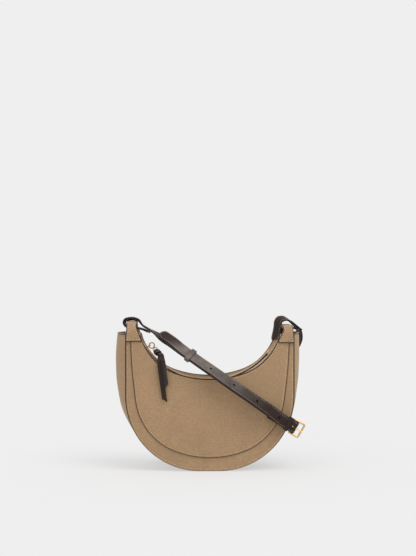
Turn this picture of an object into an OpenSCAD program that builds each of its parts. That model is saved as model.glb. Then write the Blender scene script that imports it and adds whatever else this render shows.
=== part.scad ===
// Crescent shoulder bag: a suede shell of two half moon panels and a bowed gusset,
// closed by a curved zip, carried on a buckled strap that loops round a bridge on each horn.
// The bag stands on its base, seen from -Y, and Z is up. Sizes are in millimetres.

/* [Shell] */
// Width of the front panel, from edge to edge
panel_w = 220; // [212:1:228]
// Width of the flat part of the base
base_flat = 24; // [18:1:32]
// Height of the lowest point of the mouth
mouth_z = 120; // [116:0.5:124]
// Radius of the flat middle of the mouth's curve
mouth_mid_r = 135; // [128:1:150]
// Width of each horn where it meets its bridge
horn_w = 22; // [20:0.25:24]
// How far the mouth rises from its lowest point to the bridges
mouth_rise = 50; // [48:0.5:52]
// Distance between the two panels
body_d = 60; // [56:0.5:66]
// How far the gusset bows out between the panels
gusset_bow = 11.5; // [8:0.5:12]
// How far the panels dome out
panel_dome = 3; // [1:0.25:3.25]

/* [Leather] */
// Thickness of the suede
suede_t = 1.6; // [1.2:0.1:1.7]
// Thickness of the board behind the suede
board_t = 1.4; // [1:0.1:1.5]
// Thickness of the lining cloth
lining_t = 0.8; // [0.6:0.05:1]
// Width of the front border at the base
border_base = 17.5; // [15:0.5:20]
// Width of the front border at the horns
border_side = 7; // [6:0.5:8]
// How far one layer laps over the next
lap = 5; // [4:0.5:6]

/* [Bridges] */
// Width of a bridge at its foot
bridge_foot_w = 21; // [19:0.5:22]
// Width of a bridge over the top
bridge_top_w = 13.4; // [12:0.2:14]
// How far the left bridge rises above the panels
bridge_rise = 16.7; // [16:0.1:18]
// How much lower the right bridge sits
bridge_drop = 4.6; // [0:0.2:5]
// Radius of a bridge's bend
bridge_bend_r = 14; // [10:0.5:16]

/* [Zip] */
// How far the ends of the zip stay inside the panel's edge
zip_end_gap = 14.25; // [14:0.25:15]
// How far the zip lies below the middle of the mouth
zip_sink = 7; // [6.5:0.25:7.5]
// Thickness of the zip tape
tape_t = 0.6; // [0.4:0.05:0.7]
// Width of one zip tape
tape_w = 15; // [13:0.5:16]
// Thickness of a zip tooth
tooth_t = 2.2; // [1.8:0.1:2.4]
// Width of one row of teeth
tooth_w = 2.2; // [1.8:0.1:2.4]
// Distance from one tooth to the next
tooth_pitch = 2.7; // [2.5:0.1:3.6]
// Length of the slider
slider_l = 10; // [9:0.25:11]
// Width of the slider
slider_w = 8.6; // [8.4:0.1:9.2]

/* [Puller] */
// Outside diameter of the puller's ring
ring_d = 8.8; // [8:0.1:9]
// Thickness of the ring's wire
ring_wire = 1.5; // [1.2:0.1:1.6]
// Thickness of the puller's leather
puller_t = 1.3; // [1:0.1:1.35]
// Height of the puller below its link
puller_l = 64; // [56:1:66]
// Width of the puller's leather
puller_w = 5.6; // [5:0.1:6]
// How far each leaf of the puller stands to its own side
puller_fan = 1.2; // [0.6:0.1:1.4]

/* [Strap] */
// Width of the strap
strap_w = 15.6; // [14:0.2:16]
// Thickness of the strap
strap_t = 2.2; // [1.8:0.1:2.3]
// Diameter of the holes in the strap
strap_hole_d = 3.2; // [2.6:0.1:3.6]
// Distance from one hole to the next
strap_hole_pitch = 36; // [30:1:38]
// Width of a keeper along the strap
keeper_w = 7; // [5:0.5:8]
// Thickness of a keeper's leather
keeper_t = 1.2; // [1:0.1:1.4]

/* [Buckle] */
// Thickness of the buckle's bars
buckle_bar = 2.4; // [2.2:0.1:2.6]
// Distance from the heel bar to the end bar
buckle_reach = 13.2; // [12.8:0.1:13.6]
// Thickness of the prong
prong_d = 1.6; // [1.3:0.1:1.7]

/* [Hidden] */
$fn = 48;

// Clearances and overruns
fit = 0.2;
run_fit = 0.4;
over = 1;

// Shell
half_w = panel_w / 2;
half_d = body_d / 2;
flat_x = base_flat / 2;
corner_r = half_w - flat_x;
foot_z = mouth_z + mouth_rise;
panel_top_z = foot_z + lap + suede_t;
mouth_w = panel_w - 2 * horn_w;
bridge_z = panel_top_z + bridge_rise;
border_mid = 13.4;
border_mid_z = 90.7;
border_low_r = 125;
low_share = 0.41;
dome_mid_share = 0.52;
dome_reach_share = 0.46;
bridge_inset = 0.4;
gusset_top_z = foot_z + 2 * lap;
bow_low_z = 25;
bow_full_z = 141;
bow_power = 2.8;
bow_fade = 195;
flange = lap + over;
mid_steps = 4;
bend_steps = 12;
horn_steps = 6;
bow_steps = 5;
board_w = 60;
board_edge_z = corner_r - sqrt(pow(corner_r, 2) - pow(board_w / 2 - flat_x, 2));
pocket_w = 110;
pocket_z = 28;
pocket_h = 70;
pocket_d = 9;

// Layers, counted outwards from the middle of the bag
border_y = half_d;
panel_y = border_y + suede_t;
tab_y = panel_y + suede_t + fit;
flange_y = border_y - fit;
lining_y = flange_y - board_t - fit;

// Zip: an arc through the lowest point of its strips and both of their ends
zip_reach = half_w - zip_end_gap;
zip_rise = panel_top_z - fit - mouth_z + zip_sink;
zip_r = (pow(zip_reach, 2) + pow(zip_rise, 2)) / (2 * zip_rise);
zip_z = mouth_z + zip_r - zip_sink;
zip_end_a = 2 * atan(zip_rise / zip_reach);
zip_start_l = 8.2;
zip_tongue_l = 36.3;
tongue_gap = 3.6;
slider_start_l = 20.3;
zip_left_a = zip_turn(zip_start_l) - zip_end_a;
zip_right_a = zip_end_a - zip_turn(zip_tongue_l);
strip_in = 10;
strip_t = board_t;
strip_r = zip_r - tape_t / 2 - fit;
stop_l = 2;
slider_a = zip_turn(slider_start_l) - zip_end_a;
slider_half_a = zip_turn(slider_l / 2);
plate_t = 1.3;
flange_t = 1;
wedge_w = 1.8;
bail_h = 5.8;
bail_shift = 2;
bail_wire = 1.4;

// Bridges
bridge_side_x = half_w - bridge_inset;
backing_t = board_t;
bridge_lean = 1.2;

// Buckle
heel_d = buckle_bar;
fold_r = heel_d / 2 + fit + strap_t / 2;
loop_r = fold_r + strap_t + fit;
slot_w = prong_d + 2 * run_fit;
frame_in_w = strap_w + 2 * fit;

// Puller
ring_r = (ring_d - ring_wire) / 2;
ring_hang_a = 10;
ring_link_a = 35;
link_wire = 1.1;
link_w = 5.4;
link_l = 4;
link_plate_t = 0.9;
eye_r = (ring_wire + link_wire) / 2 + 2 * fit;
link_turn_a = 30;
link_lean_a = 35;
wrap_row = 3;
wrap_t = 0.9;
puller_gap = fit / 2;
puller_steps = 4;
fan_steps = 12;
front_leaf_cut = 7;

// Strap
strap_steps = 4;
tip_steps = 5;
strap_step_share = 0.25;
tail_l = 34;
tip_lift = 3.2;
tip_place_row = 2;
flat_row = 3;
close_row = 4.5;
keeper_gap = 0.5;
buckle_tilt_a = 31;
buckle_place_share = [0.483, -0.6673, 0.3055];
fixed_keeper_l = 5.5;
fixed_keeper_back = 6.4;
fixed_keeper_gap = 2 * fit;
keeper_row = 5;
slot_low_a = 50;
slot_high_a = 105;
strap_holes = 4;
strap_hole_first = 22;

// Each row: a place on the strap's middle line, in shares of the panel's width, the bag's depth
// and the bridge's height, and the way the strap's width runs there.
strap_short_shares = [
    [-0.3627, -0.0667, 0.9276, 0, -1, 0],
    [-0.3909, -0.0333, 0.9426, 0, -1, 0],
    [-0.4182, -0.015, 0.9519, 0, -1, 0],
    [-0.4477, 0, 0.9565, 0, -1, 0],
    [-0.4764, 0, 0.9591, 0, -1, 0],
    [-0.5, 0, 0.9695, -0.06, -1, -0.04],
    [-0.5132, 0, 0.9902, -0.14, -1, 0.08],
    [-0.5027, 0, 1.0103, -0.1, -1, 0.2],
    [-0.4782, 0, 1.0191, 0, -1, 0.25],
    [-0.45, 0, 1.0191, 0.03, -1, 0.22],
    [-0.4227, -0.0033, 1.0057, 0.08, -1, 0.12],
    [-0.4027, -0.02, 0.9778, 0.04, -1, 0.03],
    [-0.3827, -0.0433, 0.9607, 0, -1, 0],
    [-0.3591, -0.0867, 0.9457, 0, -1, 0]];
strap_front_shares = [
    [-0.3591, -0.0867, 0.9457, 0, -1, 0],
    [-0.314, -0.215, 0.9196, -0.1, -1, -0.12],
    [-0.273, -0.36, 0.8923, -0.24, -0.87, -0.42],
    [-0.227, -0.484, 0.8673, -0.38, -0.68, -0.63],
    [-0.173, -0.55, 0.824, -0.38, -0.68, -0.63],
    [-0.118, -0.616, 0.7819, -0.38, -0.68, -0.63],
    [-0.055, -0.693, 0.7318, -0.38, -0.68, -0.63],
    [0.012, -0.7663, 0.6806, -0.38, -0.66, -0.64],
    [0.08, -0.7993, 0.6271, -0.4, -0.61, -0.69],
    [0.145, -0.8067, 0.5759, -0.42, -0.57, -0.71],
    [0.214, -0.803, 0.5224, -0.43, -0.55, -0.73],
    [0.273, -0.7957, 0.4746, -0.45, -0.5, -0.75],
    [0.332, -0.7773, 0.4268, -0.48, -0.38, -0.8]];
strap_back_shares = [
    [0.5482, 0.175, 0.9436, -0.34, 0.93, 0.1],
    [0.5227, 0.1233, 0.9674, -0.36, 0.92, 0.16],
    [0.4991, 0.0833, 0.9912, -0.37, 0.9, 0.24],
    [0.4773, 0.06, 1.0088, -0.4, 0.87, 0.3],
    [0.4536, 0.0433, 1.0181, -0.43, 0.84, 0.32],
    [0.4282, 0.0333, 1.0119, -0.5, 0.82, 0.3],
    [0.4091, 0.0333, 0.9912, -0.55, 0.81, 0.18],
    [0.4027, 0.0333, 0.9643, -0.6, 0.8, 0.05],
    [0.3964, 0.035, 0.9384, -0.61, 0.79, 0],
    [0.3882, 0.0367, 0.9126, -0.61, 0.79, 0],
    [0.3855, 0.0383, 0.8939, -0.61, 0.79, 0],
    [0.395, 0.0417, 0.9002, -0.56, 0.83, 0],
    [0.4027, 0.045, 0.9167, -0.5, 0.86, 0],
    [0.4145, 0.05, 0.9302, -0.44, 0.9, 0],
    [0.4345, 0.06, 0.9374, -0.38, 0.92, 0],
    [0.47, 0.0833, 0.9446, -0.34, 0.94, 0],
    [0.5091, 0.1167, 0.9519, -0.34, 0.94, 0],
    [0.541, 0.1907, 0.9401, -0.3, 0.95, 0],
    [0.557, 0.3153, 0.8843, -0.2, 0.98, 0],
    [0.545, 0.4657, 0.8172, -0.1, 1, 0],
    [0.509, 0.6673, 0.7455, 0, 1, 0],
    [0.432, 0.7333, 0.6465, 0, 1, 0],
    [0.318, 0.7663, 0.5326, 0, 1, 0],
    [0.182, 0.7737, 0.4188, 0, 1, 0],
    [0.027, 0.7737, 0.3414, 0, 1, 0],
    [-0.127, 0.7737, 0.3005, 0, 1, 0],
    [-0.264, 0.7737, 0.2481, 0, 1, 0],
    [-0.323, 0.7737, 0.1502, 0, 1, 0],
    [-0.282, 0.7737, 0.0512, 0, 1, 0],
    [-0.182, 0.7737, 0.0074, 0, 1, 0],
    [-0.09, 0.7737, 0.0074, 0, 1, 0],
    [0.01, 0.7737, 0.025, -0.05, 1, 0.1],
    [0.11, 0.7737, 0.0797, -0.15, 0.9, 0.35],
    [0.21, 0.7737, 0.148, -0.25, 0.6, 0.7],
    [0.31, 0.7737, 0.2106, -0.25, 0.25, 0.9],
    [0.4, 0.77, 0.2561, -0.1, 0, 1],
    [0.4627, 0.7233, 0.2732, 0, 0, 1],
    [0.5009, 0.5833, 0.2763, 0.15, 0, 1],
    [0.5109, 0.3333, 0.2794, 0.3, 0, 0.95],
    [0.5082, 0, 0.284, 0.48, 0, 0.88],
    [0.5027, -0.4, 0.2897, 0.515, 0, 0.857]];

// Each row: a place on the puller's middle line past the link, in shares of the puller's length,
// with its depth in shares of the bag's.
puller_shares = [
    [0.062, -0.1833, -0.092],
    [0.109, -0.385, -0.122],
    [0.136, -0.548, -0.142],
    [0.148, -0.632, -0.222],
    [0.16, -0.6398, -0.345],
    [0.201, -0.6398, -0.655],
    [0.245, -0.6398, -0.962],
    [0.249, -0.6398, -0.99]];

// Curves in the XZ plane

// The right half of a bowl: a wide arc to x1, then a closer one that ends at the point end.
function bowl(base, r1, x1, end, n1, n2) =
    let (s = x1 / r1, c = sqrt(1 - s * s), z1 = base + r1 * (1 - c))
    let (dx = end.x - x1, dz = end.y - z1, r2 = (dx * dx + dz * dz) / (2 * (dz * c - dx * s)))
    let (cx = x1 - r2 * s, cz = z1 + r2 * c, a1 = asin(s), a2 = atan2(end.x - cx, cz - end.y))
    concat(
        [for (i = [0 : n1 - 1]) let (a = a1 * i / n1) [r1 * sin(a), base + r1 * (1 - cos(a))]],
        [for (i = [0 : n2]) let (a = a1 + (a2 - a1) * i / n2) [cx + r2 * sin(a), cz - r2 * cos(a)]]);

// Points from a to b, without a.
function line_to(a, b, n) = [for (i = [1 : n]) a + (b - a) * i / n];

// A right half joined to its mirror image, from left to right.
function both(half) = concat([for (i = [len(half) - 1 : -1 : 1]) [-half[i].x, half[i].y]], half);

// The outline of the panels, taken in by inset.
function outline(inset, top) =
    let (r = corner_r - inset)
    both(concat(
        [for (i = [0 : mid_steps - 1]) [flat_x * i / mid_steps, inset]],
        [for (i = [0 : bend_steps]) let (a = 90 * i / bend_steps)
            [flat_x + r * sin(a), corner_r - r * cos(a)]],
        line_to([half_w - inset, corner_r], [half_w - inset, top], horn_steps)));

// The edge of the mouth, lowered by drop.
function mouth(drop, top) =
    let (end = [mouth_w / 2 + drop / 2, foot_z - drop / 2])
    let (half = bowl(mouth_z - drop, mouth_mid_r, half_w * low_share, end, mid_steps, bend_steps))
    let (last = half[len(half) - 1], lean = (foot_z - mouth_z) / mouth_w)
    both(concat(half, line_to(last, [last.x + (top - last.y) * lean, top], horn_steps)));

// The line between the front's border and its centre, moved inwards by inset.
function border_line(inset, top) =
    let (end = [half_w - border_mid - inset, border_mid_z])
    let (half = bowl(border_base + inset, border_low_r, half_w * low_share, end, mid_steps, bend_steps))
    let (side_x = half_w - border_side - inset)
    both(concat(half, [for (i = [1 : horn_steps]) let (z = end.y + (top - end.y) * i / horn_steps)
        [end.x + (side_x - end.x) * sin(90 * min(1, (z - end.y) / (foot_z - end.y))), z]]));

// A curve concentric with the zip, in as many points as the mouth has.
function zip_curve(r) =
    let (n = mid_steps + bend_steps + horn_steps)
    both([for (i = [0 : n]) let (a = zip_end_a * i / n) [r * sin(a), zip_z - r * cos(a)]]);

// How far the panels dome out at a point, over an oval that stays inside the gusset's flanges.
function dome(x, z) =
    let (across = x / (half_w - flange), up = (z - mouth_z * dome_mid_share) / (mouth_z * dome_reach_share))
    panel_dome * pow(max(0, 1 - across * across - up * up), 3 / 2);

// How far the gusset bows out at a height, and at a share of the way from the middle to a panel.
function bow(z, y_share) =
    let (up = max(0, min(1, (z - bow_low_z) / (bow_full_z - bow_low_z))))
    let (rise = pow(sin(90 * up), bow_power) - max(0, z - bow_full_z) / bow_fade)
    gusset_bow * rise * (1 - y_share * y_share);

// Solids from grids of points

// A closed solid between two grids of points of the same size.
module slab(top, bottom) {
    rows = len(top);
    n = len(top[0]);
    size = rows * n;
    points = concat([for (r = top) for (p = r) p], [for (r = bottom) for (p = r) p]);
    skin = [for (j = [0 : rows - 2]) for (i = [0 : n - 2])
        let (a = j * n + i) each [[a, a + n, a + 1], [a + 1, a + n, a + n + 1]]];
    back = [for (f = skin) [f[0] + size, f[2] + size, f[1] + size]];
    rim = concat([for (i = [0 : n - 1]) i],
        [for (j = [1 : rows - 1]) j * n + n - 1],
        [for (i = [n - 2 : -1 : 0]) (rows - 1) * n + i],
        [for (j = [rows - 2 : -1 : 1]) j * n]);
    m = len(rim);
    walls = [for (k = [0 : m - 1])
        let (a = rim[k], b = rim[(k + 1) % m]) each [[a, b, a + size], [b, b + size, a + size]]];
    polyhedron(points, concat(skin, back, walls));
}

// A domed sheet between two curves, its outer face y_out from the middle, towards -Y.
module sheet(low, high, y_out, t, rows) {
    flat = [for (j = [0 : rows]) [for (i = [0 : len(low) - 1]) low[i] + (high[i] - low[i]) * j / rows]];
    slab([for (r = flat) [for (p = r) [p.x, -y_out - dome(p.x, p.y), p.y]]],
        [for (r = flat) [for (p = r) [p.x, -y_out + t - dome(p.x, p.y), p.y]]]);
}

// A ring of points swept along, one closed loop of points for each station.
// Each end is closed in strips, from the first and last points of its loop to the middle ones.
module sweep(loops) {
    rows = len(loops);
    n = len(loops[0]);
    strips = [for (t = [0 : n - 3]) let (j = floor(t / 2), k = n - 1 - j)
        t % 2 == 0 ? [j, j + 1, k] : [j + 1, k - 1, k]];
    sides = [for (j = [0 : rows - 2]) for (i = [0 : n - 1])
        let (a = j * n + i, b = j * n + (i + 1) % n) each [[a, b, a + n], [b, b + n, a + n]]];
    first = [for (f = strips) [f[0], f[2], f[1]]];
    last = [for (f = strips) f + (rows - 1) * n * [1, 1, 1]];
    polyhedron([for (l = loops) for (p = l) p], concat(sides, first, last));
}

module on_back() {
    mirror([0, 1, 0]) children();
}

module on_right() {
    mirror([1, 0, 0]) children();
}

// Panels

module border() {
    sheet(outline(0, panel_top_z), border_line(lap, panel_top_z), panel_y, suede_t, 2);
}

module centre() {
    sheet(border_line(0, panel_top_z), mouth(0, panel_top_z), panel_y + suede_t + fit / 2, suede_t, 5);
}

module board() {
    sheet(border_line(lap + fit, foot_z), mouth(over, foot_z), panel_y - fit, board_t, 4);
}

module front_border() {
    color("#a98a66") border();
}

module front_panel() {
    color("#b09070") centre();
}

module front_board() {
    color("#8c8378") board();
}

module back_border() {
    color("#a98a66") on_back() border();
}

module back_panel() {
    color("#b09070") on_back() centre();
}

module back_board() {
    color("#8c8378") on_back() board();
}

// Gusset

// The outward direction of the outline at point i of a curve.
function outward(curve, i) =
    let (a = curve[max(0, i - 1)], b = curve[min(len(curve) - 1, i + 1)], d = (b - a) / norm(b - a))
    [d.y, -d.x];

// One station of the gusset: flange, bowed wall and flange, as a closed loop of points.
function gusset_loop(curve, i) =
    let (p = curve[i], n = outward(curve, i), wall = flange_y - board_t)
    let (outer = [for (k = [-bow_steps : bow_steps]) let (s = k / bow_steps) [bow(p.y, s), s * flange_y]])
    let (inner = [for (k = [bow_steps : -1 : -bow_steps]) let (s = k / bow_steps)
        [bow(p.y, s) - board_t, s * wall]])
    let (section = concat([[-flange, -flange_y]], outer, [[-flange, flange_y], [-flange, wall]], inner,
        [[-flange, -wall]]))
    [for (q = section) [p.x + n.x * q[0], q[1], p.y + n.y * q[0]]];

// The left half of the gusset, up to the seam under the middle of the bag.
module gusset_half() {
    whole = outline(0, gusset_top_z);
    middle = (len(whole) - 1) / 2;
    curve = concat([for (i = [0 : middle - 1]) whole[i]], [[-fit / 2, whole[middle].y]]);
    sweep([for (i = [middle : -1 : 0]) gusset_loop(curve, i)]);
}

module gusset_left() {
    color("#a98a66") gusset_half();
}

module gusset_right() {
    color("#a98a66") on_right() gusset_half();
}

module base_board() {
    low = [for (p = outline(board_t + fit, foot_z)) if (abs(p.x) < board_w / 2) p];
    high = [for (p = outline(2 * board_t + fit, foot_z)) if (abs(p.x) < board_w / 2) p];
    depth = 2 * (flange_y - board_t - fit);
    color("#5a524a") rotate([90, 0, 0])
        linear_extrude(depth, center = true)
            polygon(concat(low, [for (i = [len(high) - 1 : -1 : 0]) high[i]]));
}

// Bridges and horn caps

// The outline of a left bridge seen from the front.
module bridge_front(inset, top) {
    left = -bridge_side_x + inset;
    shoulder = top - bridge_bend_r / 2;
    polygon([[left, foot_z], [left + bridge_foot_w - 2 * inset, foot_z],
        [left + bridge_lean + bridge_top_w - 2 * inset, shoulder],
        [left + bridge_lean + bridge_top_w - 2 * inset, top + over],
        [left + bridge_lean, top + over], [left + bridge_lean, shoulder]]);
}

// The arch of a bridge seen from the side.
module bridge_arch(out, t, top) {
    low = foot_z - over;
    high = top - (tab_y + suede_t - out);
    difference() {
        arch_shape(out, high, low, bridge_bend_r);
        arch_shape(out - t, high - t, low - over, bridge_bend_r - t);
    }
}

module arch_shape(half, top, low, r) {
    translate([-half, low]) square([2 * half, top - r - low]);
    translate([-half + r, low]) square([2 * (half - r), top - low]);
    for (side = [-1, 1]) translate([side * (half - r), top - r]) circle(r);
}

module bridge_layer(out, t, inset, top) {
    intersection() {
        rotate([90, 0, 0]) linear_extrude(2 * (tab_y + 2 * suede_t), center = true)
            bridge_front(inset, top);
        rotate([90, 0, 90]) linear_extrude(panel_w + over, center = true) bridge_arch(out, t, top);
    }
}

module bridge_left() {
    color("#b09070") bridge_layer(tab_y + suede_t, suede_t, 0, bridge_z);
}

module bridge_right() {
    color("#b09070") on_right() bridge_layer(tab_y + suede_t, suede_t, 0, bridge_z - bridge_drop);
}

module backing(top) {
    intersection() {
        bridge_layer(tab_y - fit / 4, backing_t, fit, top);
        translate([-panel_w, -panel_w, panel_top_z + fit]) cube([panel_w, 2 * panel_w, bridge_z]);
    }
}

module bridge_backing_left() {
    color("#4a3b33") backing(bridge_z);
}

module bridge_backing_right() {
    color("#4a3b33") on_right() backing(bridge_z - bridge_drop);
}

// One row of the horn cap, from the end of the zip strips to the gusset, at a share of the depth.
function cap_row(s, drop) =
    let (x0 = strip_r * sin(zip_end_a), z0 = zip_z - strip_r * cos(zip_end_a))
    let (x3 = half_w - board_t - fit + bow(gusset_top_z, s), z3 = gusset_top_z - fit)
    let (x2 = half_w - 2 * board_t, y = s * (lining_y - fit), rise = board_t / 2)
    [for (p = [[x0 + fit, z0], [(x0 + x2) / 2, (z0 + z3) / 2 + rise], [x2, z3 - rise], [x3, z3]])
        [-p[0], y, p[1] - drop]];

module horn_cap() {
    shares = [for (k = [bow_steps : -1 : -bow_steps]) k / bow_steps];
    slab([for (s = shares) cap_row(s, 0)], [for (s = shares) cap_row(s, board_t)]);
}

module horn_cap_left() {
    color("#a98a66") horn_cap();
}

module horn_cap_right() {
    color("#a98a66") on_right() horn_cap();
}

// Zip

// The angle that a length takes up along the zip.
function zip_turn(length) = length / zip_r * 180 / PI;

// Children drawn for a zip point at the bottom of its curve are turned to the angle a.
module along_zip(a) {
    translate([0, 0, zip_z]) rotate([0, -a, 0]) children();
}

// A band from angle a1 to a2, between two radii, from y1 to y2.
module zip_band(r_in, r_out, y1, y2, a1, a2) {
    translate([0, 0, zip_z]) rotate([90, 0, 0]) rotate([0, 0, a1 - 90])
        rotate_extrude(angle = a2 - a1, $fn = 200)
            translate([r_in, -y2]) square([r_out - r_in, y2 - y1]);
}

module top_strip() {
    zip_band(strip_r - strip_t, strip_r, -border_y + fit, -strip_in, -zip_end_a, zip_end_a);
}

module top_strip_front() {
    color("#b8976f") top_strip();
}

module top_strip_back() {
    color("#b8976f") on_back() top_strip();
}

// A suede tongue that closes the strips past one end of the zip.
module zip_end(a1, a2) {
    zip_band(strip_r - strip_t, strip_r, -strip_in + fit, strip_in - fit, a1, a2);
}

module zip_end_left() {
    color("#a98a66") zip_end(-zip_end_a, zip_left_a - zip_turn(fit));
}

module zip_end_right() {
    color("#a98a66") zip_end(zip_right_a + zip_turn(tongue_gap), zip_end_a);
}

module zip_tape() {
    edge_y = -wedge_w / 2 - run_fit;
    zip_band(zip_r - tape_t / 2, zip_r + tape_t / 2, edge_y - tape_w, edge_y, zip_left_a, zip_right_a);
}

module zip_tape_front() {
    color("#5b4a3c") zip_tape();
}

module zip_tape_back() {
    color("#5b4a3c") on_back() zip_tape();
}

// A tooth seen along the zip: two jaws that hold the tape's edge.
module tooth_shape() {
    outer = -tooth_w - fit / 2;
    inner = -wedge_w / 2 - run_fit + fit;
    slot = tape_t / 2 + fit;
    polygon([[-fit / 2, -tooth_t / 2], [-fit / 2, tooth_t / 2], [outer, tooth_t / 2], [outer, slot],
        [inner, slot], [inner, -slot], [outer, -slot], [outer, -tooth_t / 2]]);
}

// A shift of half a pitch sets one row off from the other.
module zip_teeth(shift) {
    pitch_a = zip_turn(tooth_pitch);
    for (a = [slider_a - slider_half_a / 4 + zip_turn(shift) : pitch_a : zip_right_a - pitch_a])
        along_zip(a) translate([0, 0, -zip_r]) rotate([90, 0, 90])
            linear_extrude(tooth_w / 2, center = true) tooth_shape();
}

module zip_teeth_front() {
    color("#c9a45c") zip_teeth(0);
}

module zip_teeth_back() {
    color("#c9a45c") on_back() zip_teeth(tooth_pitch / 2);
}

// A stop clamped on a tape's end, just past the slider.
module zip_stop() {
    along_zip(zip_left_a + zip_turn(stop_l))
        translate([-stop_l / 2, -wedge_w - tooth_w, -zip_r + tape_t / 2])
            cube([stop_l, tooth_w, tooth_t / 2]);
}

module zip_stop_front() {
    color("#c9a45c") zip_stop();
}

module zip_stop_back() {
    color("#c9a45c") on_back() zip_stop();
}

// A box stop at the end that opens last, carried on the leather tongue.
module zip_stop_right() {
    r = strip_r - strip_t - fit / 2;
    color("#c9a45c") along_zip(zip_right_a + zip_turn(2 * tongue_gap))
        translate([-stop_l, -2 * tooth_w, -r]) cube([2 * stop_l, 4 * tooth_w, over]);
}

module slider_plate(r_in, r_out, w) {
    zip_band(r_in, r_out, -w / 2, w / 2, slider_a - slider_half_a, slider_a + slider_half_a);
}

module slider_flange(r_in, r_out, side) {
    y = side * (slider_w - flange_t) / 2;
    zip_band(r_in, r_out, y - flange_t / 2, y + flange_t / 2,
        slider_a - slider_half_a, slider_a + slider_half_a);
}

module zip_slider() {
    top_r = zip_r - tooth_t / 2 - run_fit;
    low_r = zip_r + tooth_t / 2 + run_fit;
    slot = tape_t / 2 + run_fit;
    color("#d4af62") union() {
        slider_plate(top_r - plate_t, top_r, slider_w);
        slider_plate(low_r, low_r + plate_t, slider_w);
        for (side = [-1, 1]) {
            slider_flange(top_r - over / 10, zip_r - slot, side);
            slider_flange(zip_r + slot, low_r + over / 10, side);
        }
        zip_band(top_r - over / 10, low_r + over / 10, -wedge_w / 2, wedge_w / 2,
            slider_a - slider_half_a, slider_a - slider_half_a / 2);
        along_zip(slider_a) translate([bail_shift, 0, -top_r + plate_t]) bail();
    }
}

// A bail that stands across the slider, on two legs.
module bail() {
    reach = slider_w / 2 - bail_wire / 2;
    for (side = [-1, 1]) translate([0, side * reach, -over / 10]) cylinder(h = bail_h, d = bail_wire);
    translate([0, reach, bail_h]) rotate([90, 0, 0]) cylinder(h = 2 * reach, d = bail_wire);
    for (side = [-1, 1]) translate([0, side * reach, bail_h]) sphere(d = bail_wire);
}

// Puller

// A place beside the zip: at an angle, at a radius and a step further along.
function zip_place(a, r, step) =
    [r * sin(a) + step * cos(a), 0, zip_z - r * cos(a) + step * sin(a)];

function bail_place() = zip_place(slider_a, zip_r - tooth_t / 2 - run_fit - plate_t - bail_h, bail_shift);

function ring_place() =
    let (reach = ring_r - ring_wire / 2 - bail_wire / 2 - fit)
    bail_place() + reach * [cos(ring_hang_a), 0, -sin(ring_hang_a)];

function link_place() = ring_place() + ring_r * [cos(ring_link_a), 0, -sin(ring_link_a)];

module pull_ring() {
    color("#d4af62") translate(ring_place()) rotate([90, 0, 0])
        rotate_extrude() translate([ring_r, 0]) circle(d = ring_wire);
}

// The link's frame: Z runs back along it, and X along the ring's wire.
module at_link() {
    translate(link_place()) rotate([0, -link_turn_a, 0]) rotate([-link_lean_a, 0, 0]) children();
}

// A place in the link's frame.
function link_point(back) =
    let (flat = cos(link_lean_a))
    link_place() + back * [sin(link_turn_a) * flat, -sin(link_lean_a), -cos(link_turn_a) * flat];

// An eye round the ring, and a flat loop below it, turned a quarter, that the leather folds round.
module pull_link() {
    color("#d4af62") at_link() union() {
        rotate([0, 90, 0]) difference() {
            cylinder(h = link_wire, r = eye_r + link_wire / 2, center = true);
            cylinder(h = link_wire + over, r = eye_r - link_wire / 2, center = true);
        }
        rotate([90, 0, 0]) linear_extrude(link_plate_t, center = true) difference() {
            translate([-(link_w + link_wire) / 2, -eye_r - link_l - link_wire / 2])
                square([link_w + link_wire, link_l + link_wire]);
            translate([-(link_w - link_wire) / 2, -eye_r - link_l + link_wire / 2])
                square([link_w - link_wire, link_l - link_wire]);
        }
    }
}

// Points along a route, with the route's own points among them.
function smooth(rows, n) = let (m = len(rows)) concat(
    [for (k = [0 : m - 2]) for (i = [0 : n - 1])
        blend(rows[max(0, k - 1)], rows[k], rows[k + 1], rows[min(m - 1, k + 2)], i / n)],
    [rows[m - 1]]);

// A point between b and c, at a share of the way, on a curve that leans on a and d.
function blend(a, b, c, d, t) =
    b + (c - a) * t / 2 + (a - 5 / 2 * b + 2 * c - d / 2) * t * t
    + (3 / 2 * (b - c) + (d - a) / 2) * t * t * t;

function unit(v) = v / norm(v);

// A row's place and width direction, with the way along the route and the way out of its face.
function station(rows, i) =
    let (a = rows[max(0, i - 1)], b = rows[min(len(rows) - 1, i + 1)], row = rows[i])
    let (ahead = unit([b[0] - a[0], b[1] - a[1], b[2] - a[2]]), side = [row[3], row[4], row[5]])
    let (across = unit(side - (side * ahead) * ahead))
    [[row[0], row[1], row[2]], ahead, across, cross(across, ahead)];

function stations(rows) = [for (i = [0 : len(rows) - 1]) station(rows, i)];

// The four corners of a flat strip at a station.
function strip_corners(s, w, t) =
    [for (c = [[-1, -1], [1, -1], [1, 1], [-1, 1]]) s[0] + s[2] * c[0] * w / 2 + s[3] * c[1] * t / 2];

// A round end of a flat strip, as stations that get narrower.
function tip_corners(s, w, t, ahead) =
    [for (i = [1 : tip_steps]) let (a = 90 * i / (tip_steps + 1))
        strip_corners([s[0] + s[1] * ahead * sin(a) * w / 2, s[1], s[2], s[3]], w * cos(a), t)];

module strip(list, w, t) {
    sweep([for (s = list) strip_corners(s, w, t)]);
}

// The leather that hangs from the link, folded into two leaves.
function puller_rows() =
    let (top = link_place())
    let (hung = [for (q = puller_shares) [top.x + puller_l * q.x, body_d * q.y, top.z + puller_l * q.z]])
    [for (p = concat([link_point(eye_r + link_l)], hung)) concat(p, [-1, 0, -strap_step_share])];

// How far a leaf stands to its side at station i: nothing inside the wrap, then more and more.
function leaf_fan(i) = puller_fan * max(0, min(1, (i - wrap_row - puller_steps) / fan_steps));

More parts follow.
